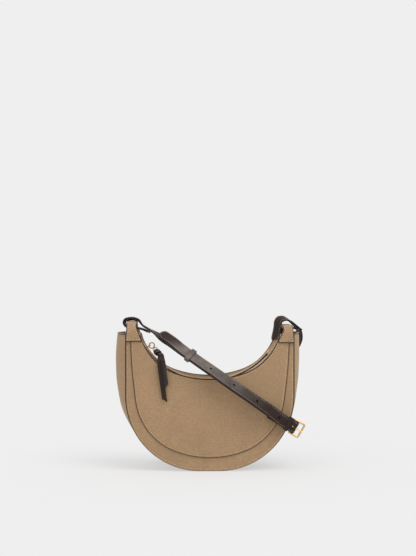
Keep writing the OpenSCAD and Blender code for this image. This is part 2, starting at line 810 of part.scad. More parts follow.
// The front leaf, side 1, stands to the right and is the shorter one.
// Each leaf has its point towards the other's side.
module puller_leaf(side) {
    list = stations(smooth(puller_rows(), puller_steps));
    last = len(list) - 1 - (side > 0 ? front_leaf_cut : 0);
    out = side * (puller_t + puller_gap) / 2;
    moved = [for (i = [0 : last]) let (s = list[i])
        [s[0] + s[3] * out - s[2] * side * leaf_fan(i), s[1], s[2], s[3]]];
    end = moved[last];
    tip = end[0] + end[1] * puller_w + end[2] * side * puller_w * strap_step_share;
    sweep(concat([for (s = moved) strip_corners(s, puller_w, puller_t)],
        [strip_corners([tip, end[1], end[2], end[3]], puller_w * strap_step_share, puller_t)]));
}

module puller_fold(r, l) {
    at_link() translate([-l / 2, 0, -eye_r - link_l]) rotate([0, 90, 0]) cylinder(h = l, r = r);
}

module puller() {
    bar_r = link_wire / 2 + fit;
    color("#2f2622") difference() {
        union() {
            for (side = [-1, 1]) puller_leaf(side);
            puller_fold(bar_r + puller_t, link_w - link_wire - 2 * fit);
        }
        puller_fold(bar_r, puller_w + 2 * over);
    }
}

module puller_wrap() {
    list = stations(smooth(puller_rows(), puller_steps));
    inner_t = 2 * puller_t + puller_gap + fit;
    inner_w = puller_w + fit;
    wrap = [for (i = [wrap_row : wrap_row + puller_steps]) list[i]];
    hole = [for (i = [wrap_row - 1 : wrap_row + puller_steps + 1]) list[i]];
    color("#2f2622") difference() {
        strip(wrap, inner_w + 2 * wrap_t, inner_t + 2 * wrap_t);
        strip(hole, inner_w, inner_t);
    }
}

// Lining and pocket

lining_inset = 2 * (board_t + fit) + bow(board_edge_z, 0);

module lining_sheet() {
    sheet(outline(lining_inset, foot_z), zip_curve(strip_r + fit), lining_y, lining_t, 4);
}

module lining_front() {
    color("#cdbfa8") lining_sheet();
}

module lining_back() {
    color("#cdbfa8") on_back() lining_sheet();
}

function lining_loop(curve, i) =
    let (p = curve[i], n = outward(curve, i), reach = lining_y - lining_t - fit)
    let (outer = [for (k = [-bow_steps : bow_steps]) let (s = k / bow_steps)
        [bow(p.y, s) - lining_inset, s * reach]])
    let (inner = [for (k = [bow_steps : -1 : -bow_steps]) let (s = k / bow_steps)
        [bow(p.y, s) - lining_inset - lining_t, s * reach]])
    [for (q = concat(outer, inner)) [p.x + n.x * q[0], q[1], p.y + n.y * q[0]]];

module lining_gusset() {
    curve = outline(0, foot_z);
    color("#cdbfa8") sweep([for (i = [len(curve) - 1 : -1 : 0]) lining_loop(curve, i)]);
}

// A slip pocket of cloth, open at the top, on the back lining.
module inner_pocket() {
    top = pocket_z + pocket_h;
    y = lining_y - lining_t - fit;
    color("#c2b39b") on_back() difference() {
        pocket_block(pocket_w / 2, pocket_z, top, y, pocket_d);
        pocket_block(pocket_w / 2 - lining_t, pocket_z + lining_t, top + over, y + over,
            pocket_d + over - lining_t);
    }
}

module pocket_block(x, z1, z2, y, t) {
    low = [for (i = [-mid_steps : mid_steps]) [x * i / mid_steps, z1]];
    high = [for (p = low) [p.x, z2]];
    sheet(low, high, y, t, mid_steps);
}

// Strap and buckle

buckle_place = [panel_w * buckle_place_share.x, body_d * buckle_place_share.y,
    bridge_z * buckle_place_share.z];
buckle_along = [cos(buckle_tilt_a), 0, -sin(buckle_tilt_a)];
buckle_out = [0, -1, 0];
buckle_across = cross(buckle_along, buckle_out);

// The buckle's frame: X along the strap, Y out of its face and Z across it.
module at_buckle() {
    translate(buckle_place) rotate([0, buckle_tilt_a, 0]) rotate([180, 0, 0]) children();
}

function place_rows(shares) =
    [for (r = shares) [panel_w * r[0], body_d * r[1], bridge_z * r[2], r[3], r[4], r[5]]];

function buckle_row(along, out, side) =
    concat(buckle_place + buckle_along * along + buckle_out * out, side * buckle_across);

// Rows round the heel bar, from one angle to another.
function fold_rows(r, a1, a2, n, side) = [for (i = [0 : n]) let (a = a1 + (a2 - a1) * i / n)
    buckle_row(r * cos(a), r * sin(a), side)];

front_rows = smooth(concat(place_rows(strap_front_shares),
    [buckle_row(-strap_w, fold_r, 1), buckle_row(-strap_w / 2, fold_r, 1)]), strap_steps);

// The front run of the strap, from the left loop to the heel bar.
front_run = stations(concat(front_rows, [buckle_row(0, fold_r, 1)]));

module strap_short() {
    loop = smooth(place_rows(strap_short_shares), strap_steps);
    fold = fold_rows(fold_r, 90, -90, 2 * tip_steps, 1);
    tail = [for (i = [1 : tip_steps]) buckle_row(-tail_l * i / tip_steps, -fold_r, 1)];
    rows = concat([for (i = [0 : len(loop) - 2]) loop[i]], front_rows, fold, tail);
    color("#3a2e2a") difference() {
        strip(stations(rows), strap_w, strap_t);
        prong_slot();
    }
}

// The slot that lets the prong through a fold.
module prong_slot() {
    at_buckle() translate([0, 0, -slot_w / 2]) rotate([0, 0, -slot_low_a])
        rotate_extrude(angle = slot_low_a + slot_high_a) square([loop_r + strap_t + over, slot_w]);
}

// The upper layer over station i of the front run. Towards its tip it lies a little further from
// the lower layer, and stays flat where that one turns on edge.
function upper_station(i) =
    let (s = front_run[i], flat = front_run[max(i, flat_row * strap_steps)])
    let (open = max(0, close_row - i / strap_steps) / (close_row - tip_place_row))
    [s[0] + flat[3] * (strap_t + fit + tip_lift * open), -s[1], -flat[2], flat[3]];

module strap_long() {
    lift = strap_t + fit;
    back = smooth(place_rows(strap_back_shares), strap_steps);
    fold = fold_rows(loop_r, 0, 90, tip_steps, -1);
    low = stations(concat(back, fold));
    front = [for (i = [len(front_run) - 2 : -1 : tip_place_row * strap_steps]) upper_station(i)];
    list = concat(low, front);
    color("#3a2e2a") difference() {
        sweep(concat([for (s = list) strip_corners(s, strap_w, strap_t)],
            tip_corners(list[len(list) - 1], strap_w, strap_t, 1)));
        prong_slot();
        for (k = [0 : strap_holes - 1])
            strap_hole(run_station(strap_hole_first + k * strap_hole_pitch), lift);
    }
}

// How far station i of the front run lies from the heel bar.
function run_left(i) =
    i >= len(front_run) - 1 ? 0 : norm(front_run[i + 1][0] - front_run[i][0]) + run_left(i + 1);

// The station at a distance from the heel bar.
function run_station(d) =
    let (i = min([for (k = [0 : len(front_run) - 2]) if (run_left(k + 1) < d) k]))
    let (a = front_run[i], b = front_run[i + 1], t = (run_left(i) - d) / norm(b[0] - a[0]))
    [a[0] + (b[0] - a[0]) * t, a[1], a[2], a[3]];

module strap_hole(s, lift) {
    z = s[3];
    translate(s[0] + z * lift) rotate([0, acos(z.z), atan2(z.y, z.x)])
        cylinder(h = strap_t + 2 * over, d = strap_hole_d, center = true);
}

// A leather band round both layers of the strap.
module keeper(s, low, high, l, gap) {
    mid = (low + high) / 2;
    place = s[0] + s[3] * mid;
    w = strap_w + 2 * gap;
    h = high - low + 2 * gap;
    list = [for (step = [-1, 1]) [place + s[1] * step * l / 2, s[1], s[2], s[3]]];
    hole = [for (step = [-1, 1]) [place + s[1] * step * (l / 2 + over), s[1], s[2], s[3]]];
    difference() {
        strip(list, w + 2 * keeper_t, h + 2 * keeper_t);
        strip(hole, w, h);
    }
}

module fixed_keeper() {
    place = buckle_place - buckle_along * fixed_keeper_back;
    s = [place, buckle_along, buckle_across, buckle_out];
    color("#3a2e2a")
        keeper(s, -fold_r - strap_t / 2, loop_r + strap_t / 2, fixed_keeper_l, fixed_keeper_gap);
}

module sliding_keeper() {
    s = front_run[keeper_row * strap_steps];
    color("#3a2e2a") keeper(s, -strap_t / 2, strap_t * 3 / 2 + fit, keeper_w, keeper_gap);
}

module buckle_frame() {
    side_z = frame_in_w / 2 + buckle_bar / 2;
    color("#d4af62") at_buckle() {
        for (x = [0, buckle_reach]) translate([x, 0, -side_z]) cylinder(h = 2 * side_z, d = buckle_bar);
        for (z = [-side_z, side_z]) translate([0, 0, z]) rotate([0, 90, 0])
            cylinder(h = buckle_reach, d = buckle_bar);
        for (x = [0, buckle_reach]) for (z = [-side_z, side_z]) translate([x, 0, z]) sphere(d = buckle_bar);
    }
}

// The prong turns on the heel bar and rests on the end bar.
module buckle_prong() {
    rest = (buckle_bar + prong_d) / 2 + fit / 2;
    rest_a = asin(rest / buckle_reach);
    eye_r = heel_d / 2 + fit / 2;
    color("#d4af62") at_buckle() {
        rotate([0, 0, rest_a]) translate([eye_r, 0, 0]) rotate([0, 90, 0])
            cylinder(h = buckle_reach - eye_r, d = prong_d);
        rotate([0, 0, rest_a]) translate([buckle_reach, 0, 0]) sphere(d = prong_d);
    }
}

front_border();
front_panel();
front_board();
back_border();
back_panel();
back_board();
gusset_left();
gusset_right();
base_board();
bridge_left();
bridge_right();
bridge_backing_left();
bridge_backing_right();
horn_cap_left();
horn_cap_right();
top_strip_front();
top_strip_back();
zip_end_left();
zip_end_right();
zip_tape_front();
zip_tape_back();
zip_teeth_front();
zip_teeth_back();
zip_stop_front();
zip_stop_back();
zip_stop_right();
zip_slider();
pull_ring();
pull_link();
puller();
puller_wrap();
lining_front();
lining_back();
lining_gusset();
inner_pocket();
strap_short();
strap_long();
fixed_keeper();
sliding_keeper();
buckle_frame();
buckle_prong();
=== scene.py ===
"""Looks of a crescent shoulder bag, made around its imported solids.

The shapes follow the curves of the solids: the half moon outline, the line between border and
centre, the mouth, the zip's arc and the strap's route. Lengths are in millimetres until a mesh
is made.
"""

import math

import bmesh
import bpy
import numpy as np
from mathutils import Matrix, Vector


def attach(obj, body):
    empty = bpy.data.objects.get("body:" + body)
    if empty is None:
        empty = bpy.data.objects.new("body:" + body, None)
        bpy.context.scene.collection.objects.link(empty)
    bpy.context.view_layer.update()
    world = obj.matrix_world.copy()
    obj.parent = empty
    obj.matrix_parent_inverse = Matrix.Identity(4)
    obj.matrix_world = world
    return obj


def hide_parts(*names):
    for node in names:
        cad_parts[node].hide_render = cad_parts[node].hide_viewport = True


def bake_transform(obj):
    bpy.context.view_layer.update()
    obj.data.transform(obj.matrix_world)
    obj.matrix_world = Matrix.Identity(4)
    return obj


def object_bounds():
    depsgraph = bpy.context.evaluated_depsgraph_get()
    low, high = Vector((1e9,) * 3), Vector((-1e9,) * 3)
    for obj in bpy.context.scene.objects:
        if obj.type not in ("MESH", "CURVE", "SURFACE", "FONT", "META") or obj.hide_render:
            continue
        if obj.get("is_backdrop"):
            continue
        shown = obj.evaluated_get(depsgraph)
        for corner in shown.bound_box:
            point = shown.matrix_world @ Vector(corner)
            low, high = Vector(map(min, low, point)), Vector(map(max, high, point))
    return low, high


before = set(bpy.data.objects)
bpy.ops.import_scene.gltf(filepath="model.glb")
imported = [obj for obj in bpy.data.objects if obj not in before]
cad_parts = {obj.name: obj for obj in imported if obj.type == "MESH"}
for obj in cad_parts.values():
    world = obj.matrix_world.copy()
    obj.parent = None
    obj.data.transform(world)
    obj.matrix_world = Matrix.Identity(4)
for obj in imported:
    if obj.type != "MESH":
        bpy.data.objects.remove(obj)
cad_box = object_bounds()

bl_info = {
    "name": "Crescent Shoulder Bag",
    "version": (1, 0, 0),
    "blender": (4, 5, 0),
    "location": "View3D > Sidebar > Crescent Bag",
    "description": "Dresses the solids of a half moon shoulder bag in suede, leather and brass",
    "category": "Object",
}

MM = 0.001
FAR = 99.0

# Shell
HALF_W = 110.0
FLAT_X = 12.0
CORNER_R = HALF_W - FLAT_X
MOUTH_Z = 120.0
MOUTH_W = 176.0
MOUTH_MID_R = 135.0
FOOT_Z = 170.0
PANEL_TOP_Z = 176.6
GUSSET_TOP_Z = 178.6
BORDER_BASE = 17.5
BORDER_SIDE = 7.0
BORDER_MID = 13.4
BORDER_MID_Z = 90.7
BORDER_LOW_R = 125.0
LOW_X = HALF_W * 0.41
LAP = 5.0
FLANGE = 6.0
DOME = 3.0
DOME_MID_Z = MOUTH_Z * 0.52
DOME_HALF_Z = MOUTH_Z * 0.46
DOME_POWER = 1.5
UNEVEN = 0.25
BOW = 11.5
BOW_LOW_Z = 25.0
BOW_FULL_Z = 141.0
BOW_POWER = 2.8
BOW_FADE = 195.0
# The gusset's swell: how far it stands out, the heights that it grows between, and how late it comes
SWELL_LEFT = (13.5, 5.0, 141.0, 2.8)
SWELL_RIGHT = (9.0, 45.0, 145.0, 1.8)
SWELL_DRAWN_IN, SWELL_DRAWN_Z, SWELL_DRAWN_H = 2.4, 145.0, 35.0
CREASE = 0.35
SUEDE_T = 1.6
BOARD_T = 1.4
LINING_T = 0.8
FIT = 0.2
STRIP_T = 0.9
TAPE_T = 0.6

# Distances from the middle of the bag to the outer face of each layer
FLANGE_Y = 29.8
BORDER_Y = 31.6
CENTRE_Y = 33.3
TAB_Y = 35.0
LINING_Y = 28.2

# Each side's name, and its way in Y
SIDES = (("front", -1), ("back", 1))

# Bridges
BRIDGE_X = 109.6
BRIDGE_FOOT_W = 21.0
BRIDGE_TOP_W = 13.4
BRIDGE_LEAN = 1.2
BRIDGE_BEND_R = 14.0
BRIDGE_Z = 193.3
BRIDGE_DROP = 4.6
BRIDGE_FOOT_IN = (1.6, 3.8)
HORN_CAP_BELOW = 1.0

# Slider
SLIDER_L, SLIDER_BACK_W, SLIDER_FRONT_W = 10.0, 8.6, 6.6
SLIDER_IN, SLIDER_OUT = 1.5, 2.8
RAIL_IN, RAIL_OUT = 0.75, 1.6
BAIL_REACH, BAIL_TOP, BAIL_AHEAD, BAIL_WIRE_R = 3.6, 8.7, 2.0, 0.7

# Zip
ZIP_R = 104.0033
ZIP_Z = 217.0033
ZIP_END = 67.02
ZIP_LEFT = -62.503
ZIP_RIGHT = 47.022
SLIDER_A = -55.837
TOOTH_PITCH = 2.7
STRIP_IN = 10.0
STRIP_R = 102.1
TAPE_IN = 1.3
TAPE_OUT = 16.3
TAPE_DROP = 0.3
TOOTH_Y = 1.2
TOOTH_STAGGER = 0.75
TURN_IN, TURN_R, TURN_RUN = 2.5, 2.2, 8.0

# Strap
STRAP_W = 15.6
STRAP_T = 2.2
BUCKLE = np.array((106.26, -40.038, 59.053))
BUCKLE_ALONG = np.array((math.cos(math.radians(31)), 0, -math.sin(math.radians(31))))
BUCKLE_OUT = np.array((0.0, -1.0, 0.0))
BUCKLE_ACROSS = np.cross(BUCKLE_ALONG, BUCKLE_OUT)
BUCKLE_REACH, BUCKLE_BAR_R = 13.2, 1.2
FOLD_R = 2.4
TAIL_L = 34.0
KEEPER_BEHIND, KEEPER_T = 6.4, 1.2
SLOT_R, SLOT_HALF_W = 8.5, 1.2
PRONG_R, CURL_R = 0.8, 1.75
HOLE_FIRST, HOLE_PITCH, STRAP_HOLE_R, CUTTER_REACH = 22.0, 36.0, 1.6, 2.1
LOOP_R = 4.8
STRAP_LIFT = STRAP_T + FIT

# Lining
LINING_IN = 5.4
POCKET_LOW_Z, POCKET_HIGH_Z, POCKET_HALF_W = 28.0, 98.0, 55.0
POCKET_DEPTH, POCKET_SAG = 7.9, 0.8

# Steps of the curves
MID, BEND, HORN = 12, 36, 14
EDGE_STEPS = (0, 0.25, 0.6, 1.0, 1.5, 1.95, 2.4, 2.85, 3.4, 5.0)
ROUND_SHARE, ROUND_IN = 0.42, 0.9
GROOVE, GROOVE_HALF_W, STRAP_GROOVE, LEAF_GROOVE = 0.22, 0.5, 0.2, 0.05
STITCH_IN = 2.85
STRAP_STITCH_IN = 1.95
HOLE_LENGTH = 1.0
HOLE_R = 0.42
# How deep what lies on a face is set into it
HEM_SINK, BRIDGE_SINK, STRIP_SINK, PANEL_SINK, STRAP_SINK = 0.14, 0.16, 0.12, 0.1, 0.05

# How far the paint of the cut edges reaches onto each face
PANEL_PAINT, MOUTH_PAINT, GUSSET_PAINT, BRIDGE_PAINT = 1.0, 1.6, 1.9, 1.15
STRIP_PAINT, TONGUE_PAINT, STRAP_PAINT, LEAF_PAINT, BAND_PAINT = 0.9, 0.6, 0.6, 0.4, 0.3
BORDER_PAINT, BORDER_PAINT_RISE, BORDER_PAINT_Z, BORDER_PAINT_H = 0.6, 1.0, 20.0, 80.0

# Each row is a place on the strap's middle line, as shares of PLACE_UNITS, then the way its width runs.
PLACE_UNITS = np.array((220.0, 60.0, BRIDGE_Z))
STRAP_SHORT = (
    (-0.3627, -0.0667, 0.9276, 0, -1, 0), (-0.3909, -0.0333, 0.9426, 0, -1, 0),
    (-0.4182, -0.015, 0.9519, 0, -1, 0), (-0.4477, 0, 0.9565, 0, -1, 0),
    (-0.4764, 0, 0.9591, 0, -1, 0), (-0.5, 0, 0.9695, -0.06, -1, -0.04),
    (-0.5095, 0, 0.9892, -0.14, -1, 0.08), (-0.5015, 0, 1.009, -0.1, -1, 0.2),
    (-0.4782, 0, 1.017, 0, -1, 0.24), (-0.45, 0, 1.017, 0.03, -1, 0.22),
    (-0.4227, -0.0033, 1.0057, 0.08, -1, 0.12), (-0.4027, -0.02, 0.9778, 0.04, -1, 0.03),
    (-0.3827, -0.0433, 0.9607, 0, -1, 0), (-0.3591, -0.0867, 0.9457, 0, -1, 0))
STRAP_FRONT = (
    (-0.3591, -0.0867, 0.9457, 0, -1, 0), (-0.314, -0.215, 0.9196, -0.1, -1, -0.12),
    (-0.273, -0.36, 0.8893, -0.24, -0.87, -0.42), (-0.227, -0.484, 0.8603, -0.36, -0.71, -0.6),
    (-0.173, -0.55, 0.816, -0.38, -0.68, -0.63), (-0.118, -0.616, 0.7739, -0.38, -0.68, -0.63),
    (-0.055, -0.693, 0.7238, -0.38, -0.68, -0.63), (0.012, -0.7663, 0.6726, -0.38, -0.66, -0.64),
    (0.08, -0.7993, 0.6191, -0.4, -0.61, -0.69), (0.145, -0.8067, 0.5679, -0.42, -0.57, -0.71),
    (0.214, -0.803, 0.5144, -0.43, -0.55, -0.73), (0.273, -0.7957, 0.468, -0.45, -0.5, -0.75),
    (0.332, -0.7773, 0.4228, -0.48, -0.38, -0.8))
STRAP_BACK = (
    (0.5482, 0.175, 0.9436, -0.34, 0.93, 0.1), (0.5227, 0.1233, 0.9674, -0.36, 0.92, 0.16),
    (0.4991, 0.0833, 0.9912, -0.37, 0.9, 0.24), (0.4773, 0.06, 1.0088, -0.4, 0.87, 0.3),
    (0.4536, 0.0433, 1.0181, -0.43, 0.84, 0.32), (0.4282, 0.0333, 1.0119, -0.5, 0.82, 0.3),
    (0.4159, 0.0333, 0.9912, -0.55, 0.81, 0.18), (0.4141, 0.0333, 0.9617, -0.6, 0.8, 0.05),
    (0.41, 0.035, 0.9332, -0.61, 0.79, 0), (0.4041, 0.0367, 0.9023, -0.61, 0.79, 0),
    (0.4014, 0.0383, 0.8784, -0.61, 0.79, 0), (0.4109, 0.0417, 0.8847, -0.56, 0.83, 0),
    (0.4163, 0.045, 0.9064, -0.5, 0.86, 0), (0.4213, 0.05, 0.9276, -0.44, 0.9, 0),
    (0.4345, 0.06, 0.9374, -0.38, 0.92, 0), (0.47, 0.0833, 0.9446, -0.34, 0.94, 0),
    (0.5091, 0.1167, 0.9519, -0.34, 0.94, 0), (0.541, 0.1907, 0.9401, -0.3, 0.95, 0),
    (0.557, 0.3153, 0.8843, -0.2, 0.98, 0), (0.545, 0.4657, 0.8172, -0.1, 1, 0),
    (0.509, 0.6673, 0.7455, 0, 1, 0), (0.432, 0.7333, 0.6465, 0, 1, 0),
    (0.318, 0.7663, 0.5326, 0, 1, 0), (0.182, 0.7737, 0.4188, 0, 1, 0),
    (0.027, 0.7737, 0.3414, 0, 1, 0), (-0.127, 0.7737, 0.3005, 0, 1, 0),
    (-0.264, 0.7737, 0.2481, 0, 1, 0), (-0.323, 0.7737, 0.1502, 0, 1, 0),
    (-0.282, 0.7737, 0.0512, 0, 1, 0), (-0.182, 0.7737, 0.0074, 0, 1, 0),
    (-0.09, 0.7737, 0.0074, 0, 1, 0), (0.01, 0.7737, 0.025, -0.05, 1, 0.1),
    (0.11, 0.7737, 0.0797, -0.15, 0.9, 0.35), (0.21, 0.7737, 0.148, -0.25, 0.6, 0.7),
    (0.31, 0.7737, 0.2106, -0.25, 0.25, 0.9), (0.4, 0.77, 0.2561, -0.1, 0, 1),
    (0.4627, 0.7233, 0.2732, 0, 0, 1), (0.5009, 0.5833, 0.2763, 0.15, 0, 1),
    (0.5109, 0.3333, 0.2794, 0.3, 0, 0.95), (0.5082, 0, 0.284, 0.48, 0, 0.88),
    (0.5027, -0.4, 0.2897, 0.515, 0, 0.857))
# Each row is a place on the puller's middle line past its link, as shares of PULLER_UNITS.
PULLER_UNITS = np.array((64.0, 60.0, 64.0))
PULLER = (
    (0.062, -0.1833, -0.092), (0.109, -0.385, -0.122),
    (0.136, -0.548, -0.142), (0.148, -0.632, -0.222),
    (0.16, -0.6398, -0.345), (0.201, -0.6398, -0.655),
    (0.245, -0.6398, -0.962), (0.249, -0.6398, -0.99))


# Curves in the XZ plane

def steps(a, b, n):
    return [a + (b - a) * i / n for i in range(n + 1)]


def bowl(base, r1, x1, end):
    """The right half of a bowl: a wide arc to x1, then a closer one to the point end."""
    s = x1 / r1
    c = math.sqrt(1 - s * s)
    z1 = base + r1 * (1 - c)
    dx, dz = end[0] - x1, end[1] - z1
    r2 = (dx * dx + dz * dz) / (2 * (dz * c - dx * s))
    cx, cz = x1 - r2 * s, z1 + r2 * c
    a1, a2 = math.asin(s), math.atan2(end[0] - cx, cz - end[1])
    wide = [(r1 * math.sin(a), base + r1 * (1 - math.cos(a))) for a in steps(0, a1, MID)[:-1]]
    return wide + [(cx + r2 * math.sin(a), cz - r2 * math.cos(a)) for a in steps(a1, a2, BEND)]


def turn(n):
    """n angles round a circle."""
    return steps(0, 2 * math.pi, n)[:-1]


def arc(cx, cy, r, start, end, n):
    """Points on an arc in a plane, between two angles in degrees."""
    return [(cx + r * math.cos(math.radians(a)), cy + r * math.sin(math.radians(a)))
            for a in steps(start, end, n)]


def line_to(a, b, n):
    return [(a[0] + (b[0] - a[0]) * t, a[1] + (b[1] - a[1]) * t) for t in steps(0, 1, n)[1:]]


def both(half):
    """A right half joined to its mirror image, from left to right."""
    return np.array([(-x, z) for x, z in half[:0:-1]] + list(half))


def outline(inset, top=PANEL_TOP_Z):
    r = CORNER_R - inset
    flat = [(FLAT_X * i / MID, inset) for i in range(MID)]
    corner = [(FLAT_X + r * math.sin(a), CORNER_R - r * math.cos(a)) for a in steps(0, math.pi / 2, BEND)]
    side = HALF_W - inset
    return both(flat + corner + line_to((side, CORNER_R), (side, top), HORN))


def mouth(drop, top=PANEL_TOP_Z):
    end = (MOUTH_W / 2 + drop / 2, FOOT_Z - drop / 2)
    half = bowl(MOUTH_Z - drop, MOUTH_MID_R, LOW_X, end)
    lean = (FOOT_Z - MOUTH_Z) / MOUTH_W
    return both(half + line_to(end, (end[0] + (top - end[1]) * lean, top), HORN))


def border_line(inset, top=PANEL_TOP_Z):
    end = (HALF_W - BORDER_MID - inset, BORDER_MID_Z)
    half = bowl(BORDER_BASE + inset, BORDER_LOW_R, LOW_X, end)
    side = HALF_W - BORDER_SIDE - inset
    heights = [end[1] + (top - end[1]) * i / HORN for i in range(1, HORN + 1)]
    shares = [min(1, (z - end[1]) / (FOOT_Z - end[1])) for z in heights]
    rise = [(end[0] + (side - end[0]) * math.sin(math.pi / 2 * f), z) for f, z in zip(shares, heights)]
    return both(half + rise)


def zip_curve(r):
    n = MID + BEND + HORN
    return both([(r * math.sin(a), ZIP_Z - r * math.cos(a)) for a in steps(0, math.radians(ZIP_END), n)])


def dome(x, z):
    """How far a panel's middle stands out, with a slight unevenness on it."""
    across, up = x / (HALF_W - FLANGE), (z - DOME_MID_Z) / DOME_HALF_Z
    lift = DOME * np.maximum(0, 1 - across ** 2 - up ** 2) ** DOME_POWER
    waves = np.sin(x / 19 + z / 33 + 0.7) * np.sin(z / 21 - x / 47 + 0.4)
    return lift + UNEVEN * (1 + waves) * np.clip(lift, 0, 1)


def swell(z, most, low, full, power):
    """A rise from nothing at one height to the most at another."""
    return most * np.sin(math.pi / 2 * np.clip((z - low) / (full - low), 0, 1)) ** power


def bow(z, share):
    """How far the lining's gusset is bowed, as the solids' gusset is."""
    rise = swell(z, 1, BOW_LOW_Z, BOW_FULL_Z, BOW_POWER) - np.maximum(0, z - BOW_FULL_Z) / BOW_FADE
    return BOW * rise * (1 - share ** 2)


def bulge(x, z, share):
    """How far the soft gusset swells out: more on the left, where the zip's end hangs open."""
    left = swell(z, *SWELL_LEFT) - SWELL_DRAWN_IN * np.clip((z - SWELL_DRAWN_Z) / SWELL_DRAWN_H, 0, 1)
    return np.where(np.asarray(x) < 0, left, swell(z, *SWELL_RIGHT)) * (1 - share ** 2)


def outward(curve):
    """The way out of an outline at each of its points."""
    tangent = unit(np.gradient(curve, axis=0))
    return np.stack([tangent[:, 1], -tangent[:, 0]], axis=1)


# Meshes

def unit(v):
    return v / np.linalg.norm(v, axis=-1, keepdims=True)


def run_length(points):
    """The length run through at each point of a path."""
    points = np.asarray(points, float)
    return np.cumsum(np.linalg.norm(np.diff(points, axis=0, prepend=points[:1]), axis=1))


def make_piece(name, points, faces, uvs=None, edge=None, sharp=50):
    """A closed mesh piece from points in millimetres, with its normals outwards."""
    mesh = bpy.data.meshes.new(name)
    mesh.from_pydata([tuple(float(c) * MM for c in p) for p in points], [], faces)
    if edge is not None:
        mesh.attributes.new("edge", "FLOAT", "POINT").data.foreach_set("value", np.asarray(edge, np.float32))
    if uvs is not None:
        layer = mesh.uv_layers.new(name="UVMap")
        corner = np.empty(len(mesh.loops), np.int32)
        mesh.loops.foreach_get("vertex_index", corner)
        layer.data.foreach_set("uv", (np.asarray(uvs, np.float32) * MM)[corner].ravel())
    solid = bmesh.new()
    solid.from_mesh(mesh)
    bmesh.ops.recalc_face_normals(solid, faces=solid.faces)
    solid.to_mesh(mesh)
    solid.free()
    mesh.shade_smooth()
    mesh.set_sharp_from_angle(angle=math.radians(sharp))
    obj = bpy.data.objects.new(name, mesh)
    bpy.context.scene.collection.objects.link(obj)
    return obj


def edge_depth(dist, t, groove, groove_in):
    """How far the face lies below its plane: rounded at the cut edge, drawn in along the stitches."""
    rounded = ROUND_SHARE * t * np.clip(1 - dist / ROUND_IN, 0, 1) ** 2
    return rounded + groove * np.exp(-((dist - groove_in) / GROOVE_HALF_W) ** 2)


def face_normals(grid, out):
    """The way out of a grid's face at each point, on the side that out looks to."""
    normal = unit(np.cross(np.gradient(grid, axis=1), np.gradient(grid, axis=0)))
    middle = normal[grid.shape[0] // 2, grid.shape[1] // 2]
    return -normal if middle @ np.asarray(out) < 0 else normal


def closed_sheet(name, grid, t, out, dist=None, paint=0.0, groove=GROOVE, back_groove=0, groove_in=STITCH_IN):
    """A sheet of thickness t below a grid of points, with rounded edges. Its face looks the way of out."""
    grid = np.asarray(grid, float)
    rows, cols = grid.shape[:2]
    dist = np.full((rows, cols), FAR) if dist is None else np.asarray(dist, float)
    normal = face_normals(grid, out)
    outer = grid - normal * edge_depth(dist, t, groove, groove_in)[..., None]
    inner = grid - normal * (t - edge_depth(dist, t, back_groove, groove_in))[..., None]
    lengths = np.meshgrid(run_length(grid[rows // 2]), run_length(grid[:, cols // 2]))
    uv = np.stack(lengths, axis=-1).reshape(-1, 2)
    size = rows * cols
    index = np.arange(size).reshape(rows, cols)
    skin = [(a, a + 1, a + cols + 1, a + cols) for a in index[:-1, :-1].ravel().tolist()]
    under = [tuple(i + size for i in f) for f in skin]
    rim = np.concatenate([index[0], index[1:, -1], index[-1, -2::-1], index[-2:0:-1, 0]]).tolist()
    walls = [(a, b, b + size, a + size) for a, b in zip(rim, rim[1:] + rim[:1])]
    points = np.concatenate([outer.reshape(-1, 3), inner.reshape(-1, 3)])
    edge = np.concatenate([(dist - paint).ravel()] * 2)
    return make_piece(name, points, skin + under + walls, np.concatenate([uv, uv]), edge)


def ring_faces(rows, n, closed=False):
    """Quads between rings of n points, and from the last ring to the first where they are closed."""
    corners_of = ((0, 0), (0, 1), (1, 1), (1, 0))
    return [tuple((j + dj) % rows * n + (i + di) % n for dj, di in corners_of)
            for j in range(rows if closed else rows - 1) for i in range(n)]


def sweep(name, loops, sharp=50):
    """A closed solid swept along rings of points."""
    rows, n = len(loops), len(loops[0])
    faces = ring_faces(rows, n) + [tuple(range(n)), tuple(range((rows - 1) * n, rows * n))]
    return make_piece(name, [p for loop in loops for p in loop], faces, sharp=sharp)


def ring_tube(name, path, r, sides=12, closed=False, across=(0, 1, 0)):
    """A round wire along a path of points."""
    path, hint = np.asarray(path, float), np.array(across, float)
    ahead = unit(np.roll(path, -1, 0) - np.roll(path, 1, 0) if closed else np.gradient(path, axis=0))
    loops = []
    for p, a in zip(path, ahead):
        u = unit(hint - (hint @ a) * a)
        v = np.cross(a, u)
        loops.append([p + r * (math.cos(b) * u + math.sin(b) * v) for b in turn(sides)])
    if not closed:
        return sweep(name, loops)
    return make_piece(name, [p for loop in loops for p in loop], ring_faces(len(path), sides, True))


def band(name, outer, inner):
    """A leather band with an outer and an inner wall, closed at both ends."""
    rows, n = len(outer), len(outer[0])
    size = rows * n
    walls = ring_faces(rows, n)
    faces = walls + [tuple(i + size for i in reversed(f)) for f in walls]
    for row in (0, size - n):
        faces += [(row + i, row + i + size, row + (i + 1) % n + size, row + (i + 1) % n) for i in range(n)]
    points = [p for loop in (*outer, *inner) for p in loop]
    around, along = run_length(outer[0]), run_length([loop[0] for loop in outer])
    uv = [(a, b) for a in along for b in around]
    edge = [min(a, along[-1] - a) - BAND_PAINT for a in along for _ in around]
    return make_piece(name, points, faces, uv + uv, edge + edge)


def joined(name, pieces):
    """Several objects as one."""
    for o in bpy.context.selected_objects:
        o.select_set(False)
    for o in pieces:
        o.select_set(True)
    bpy.context.view_layer.objects.active = pieces[0]
    bpy.ops.object.join()
    pieces[0].name = name
    return pieces[0]


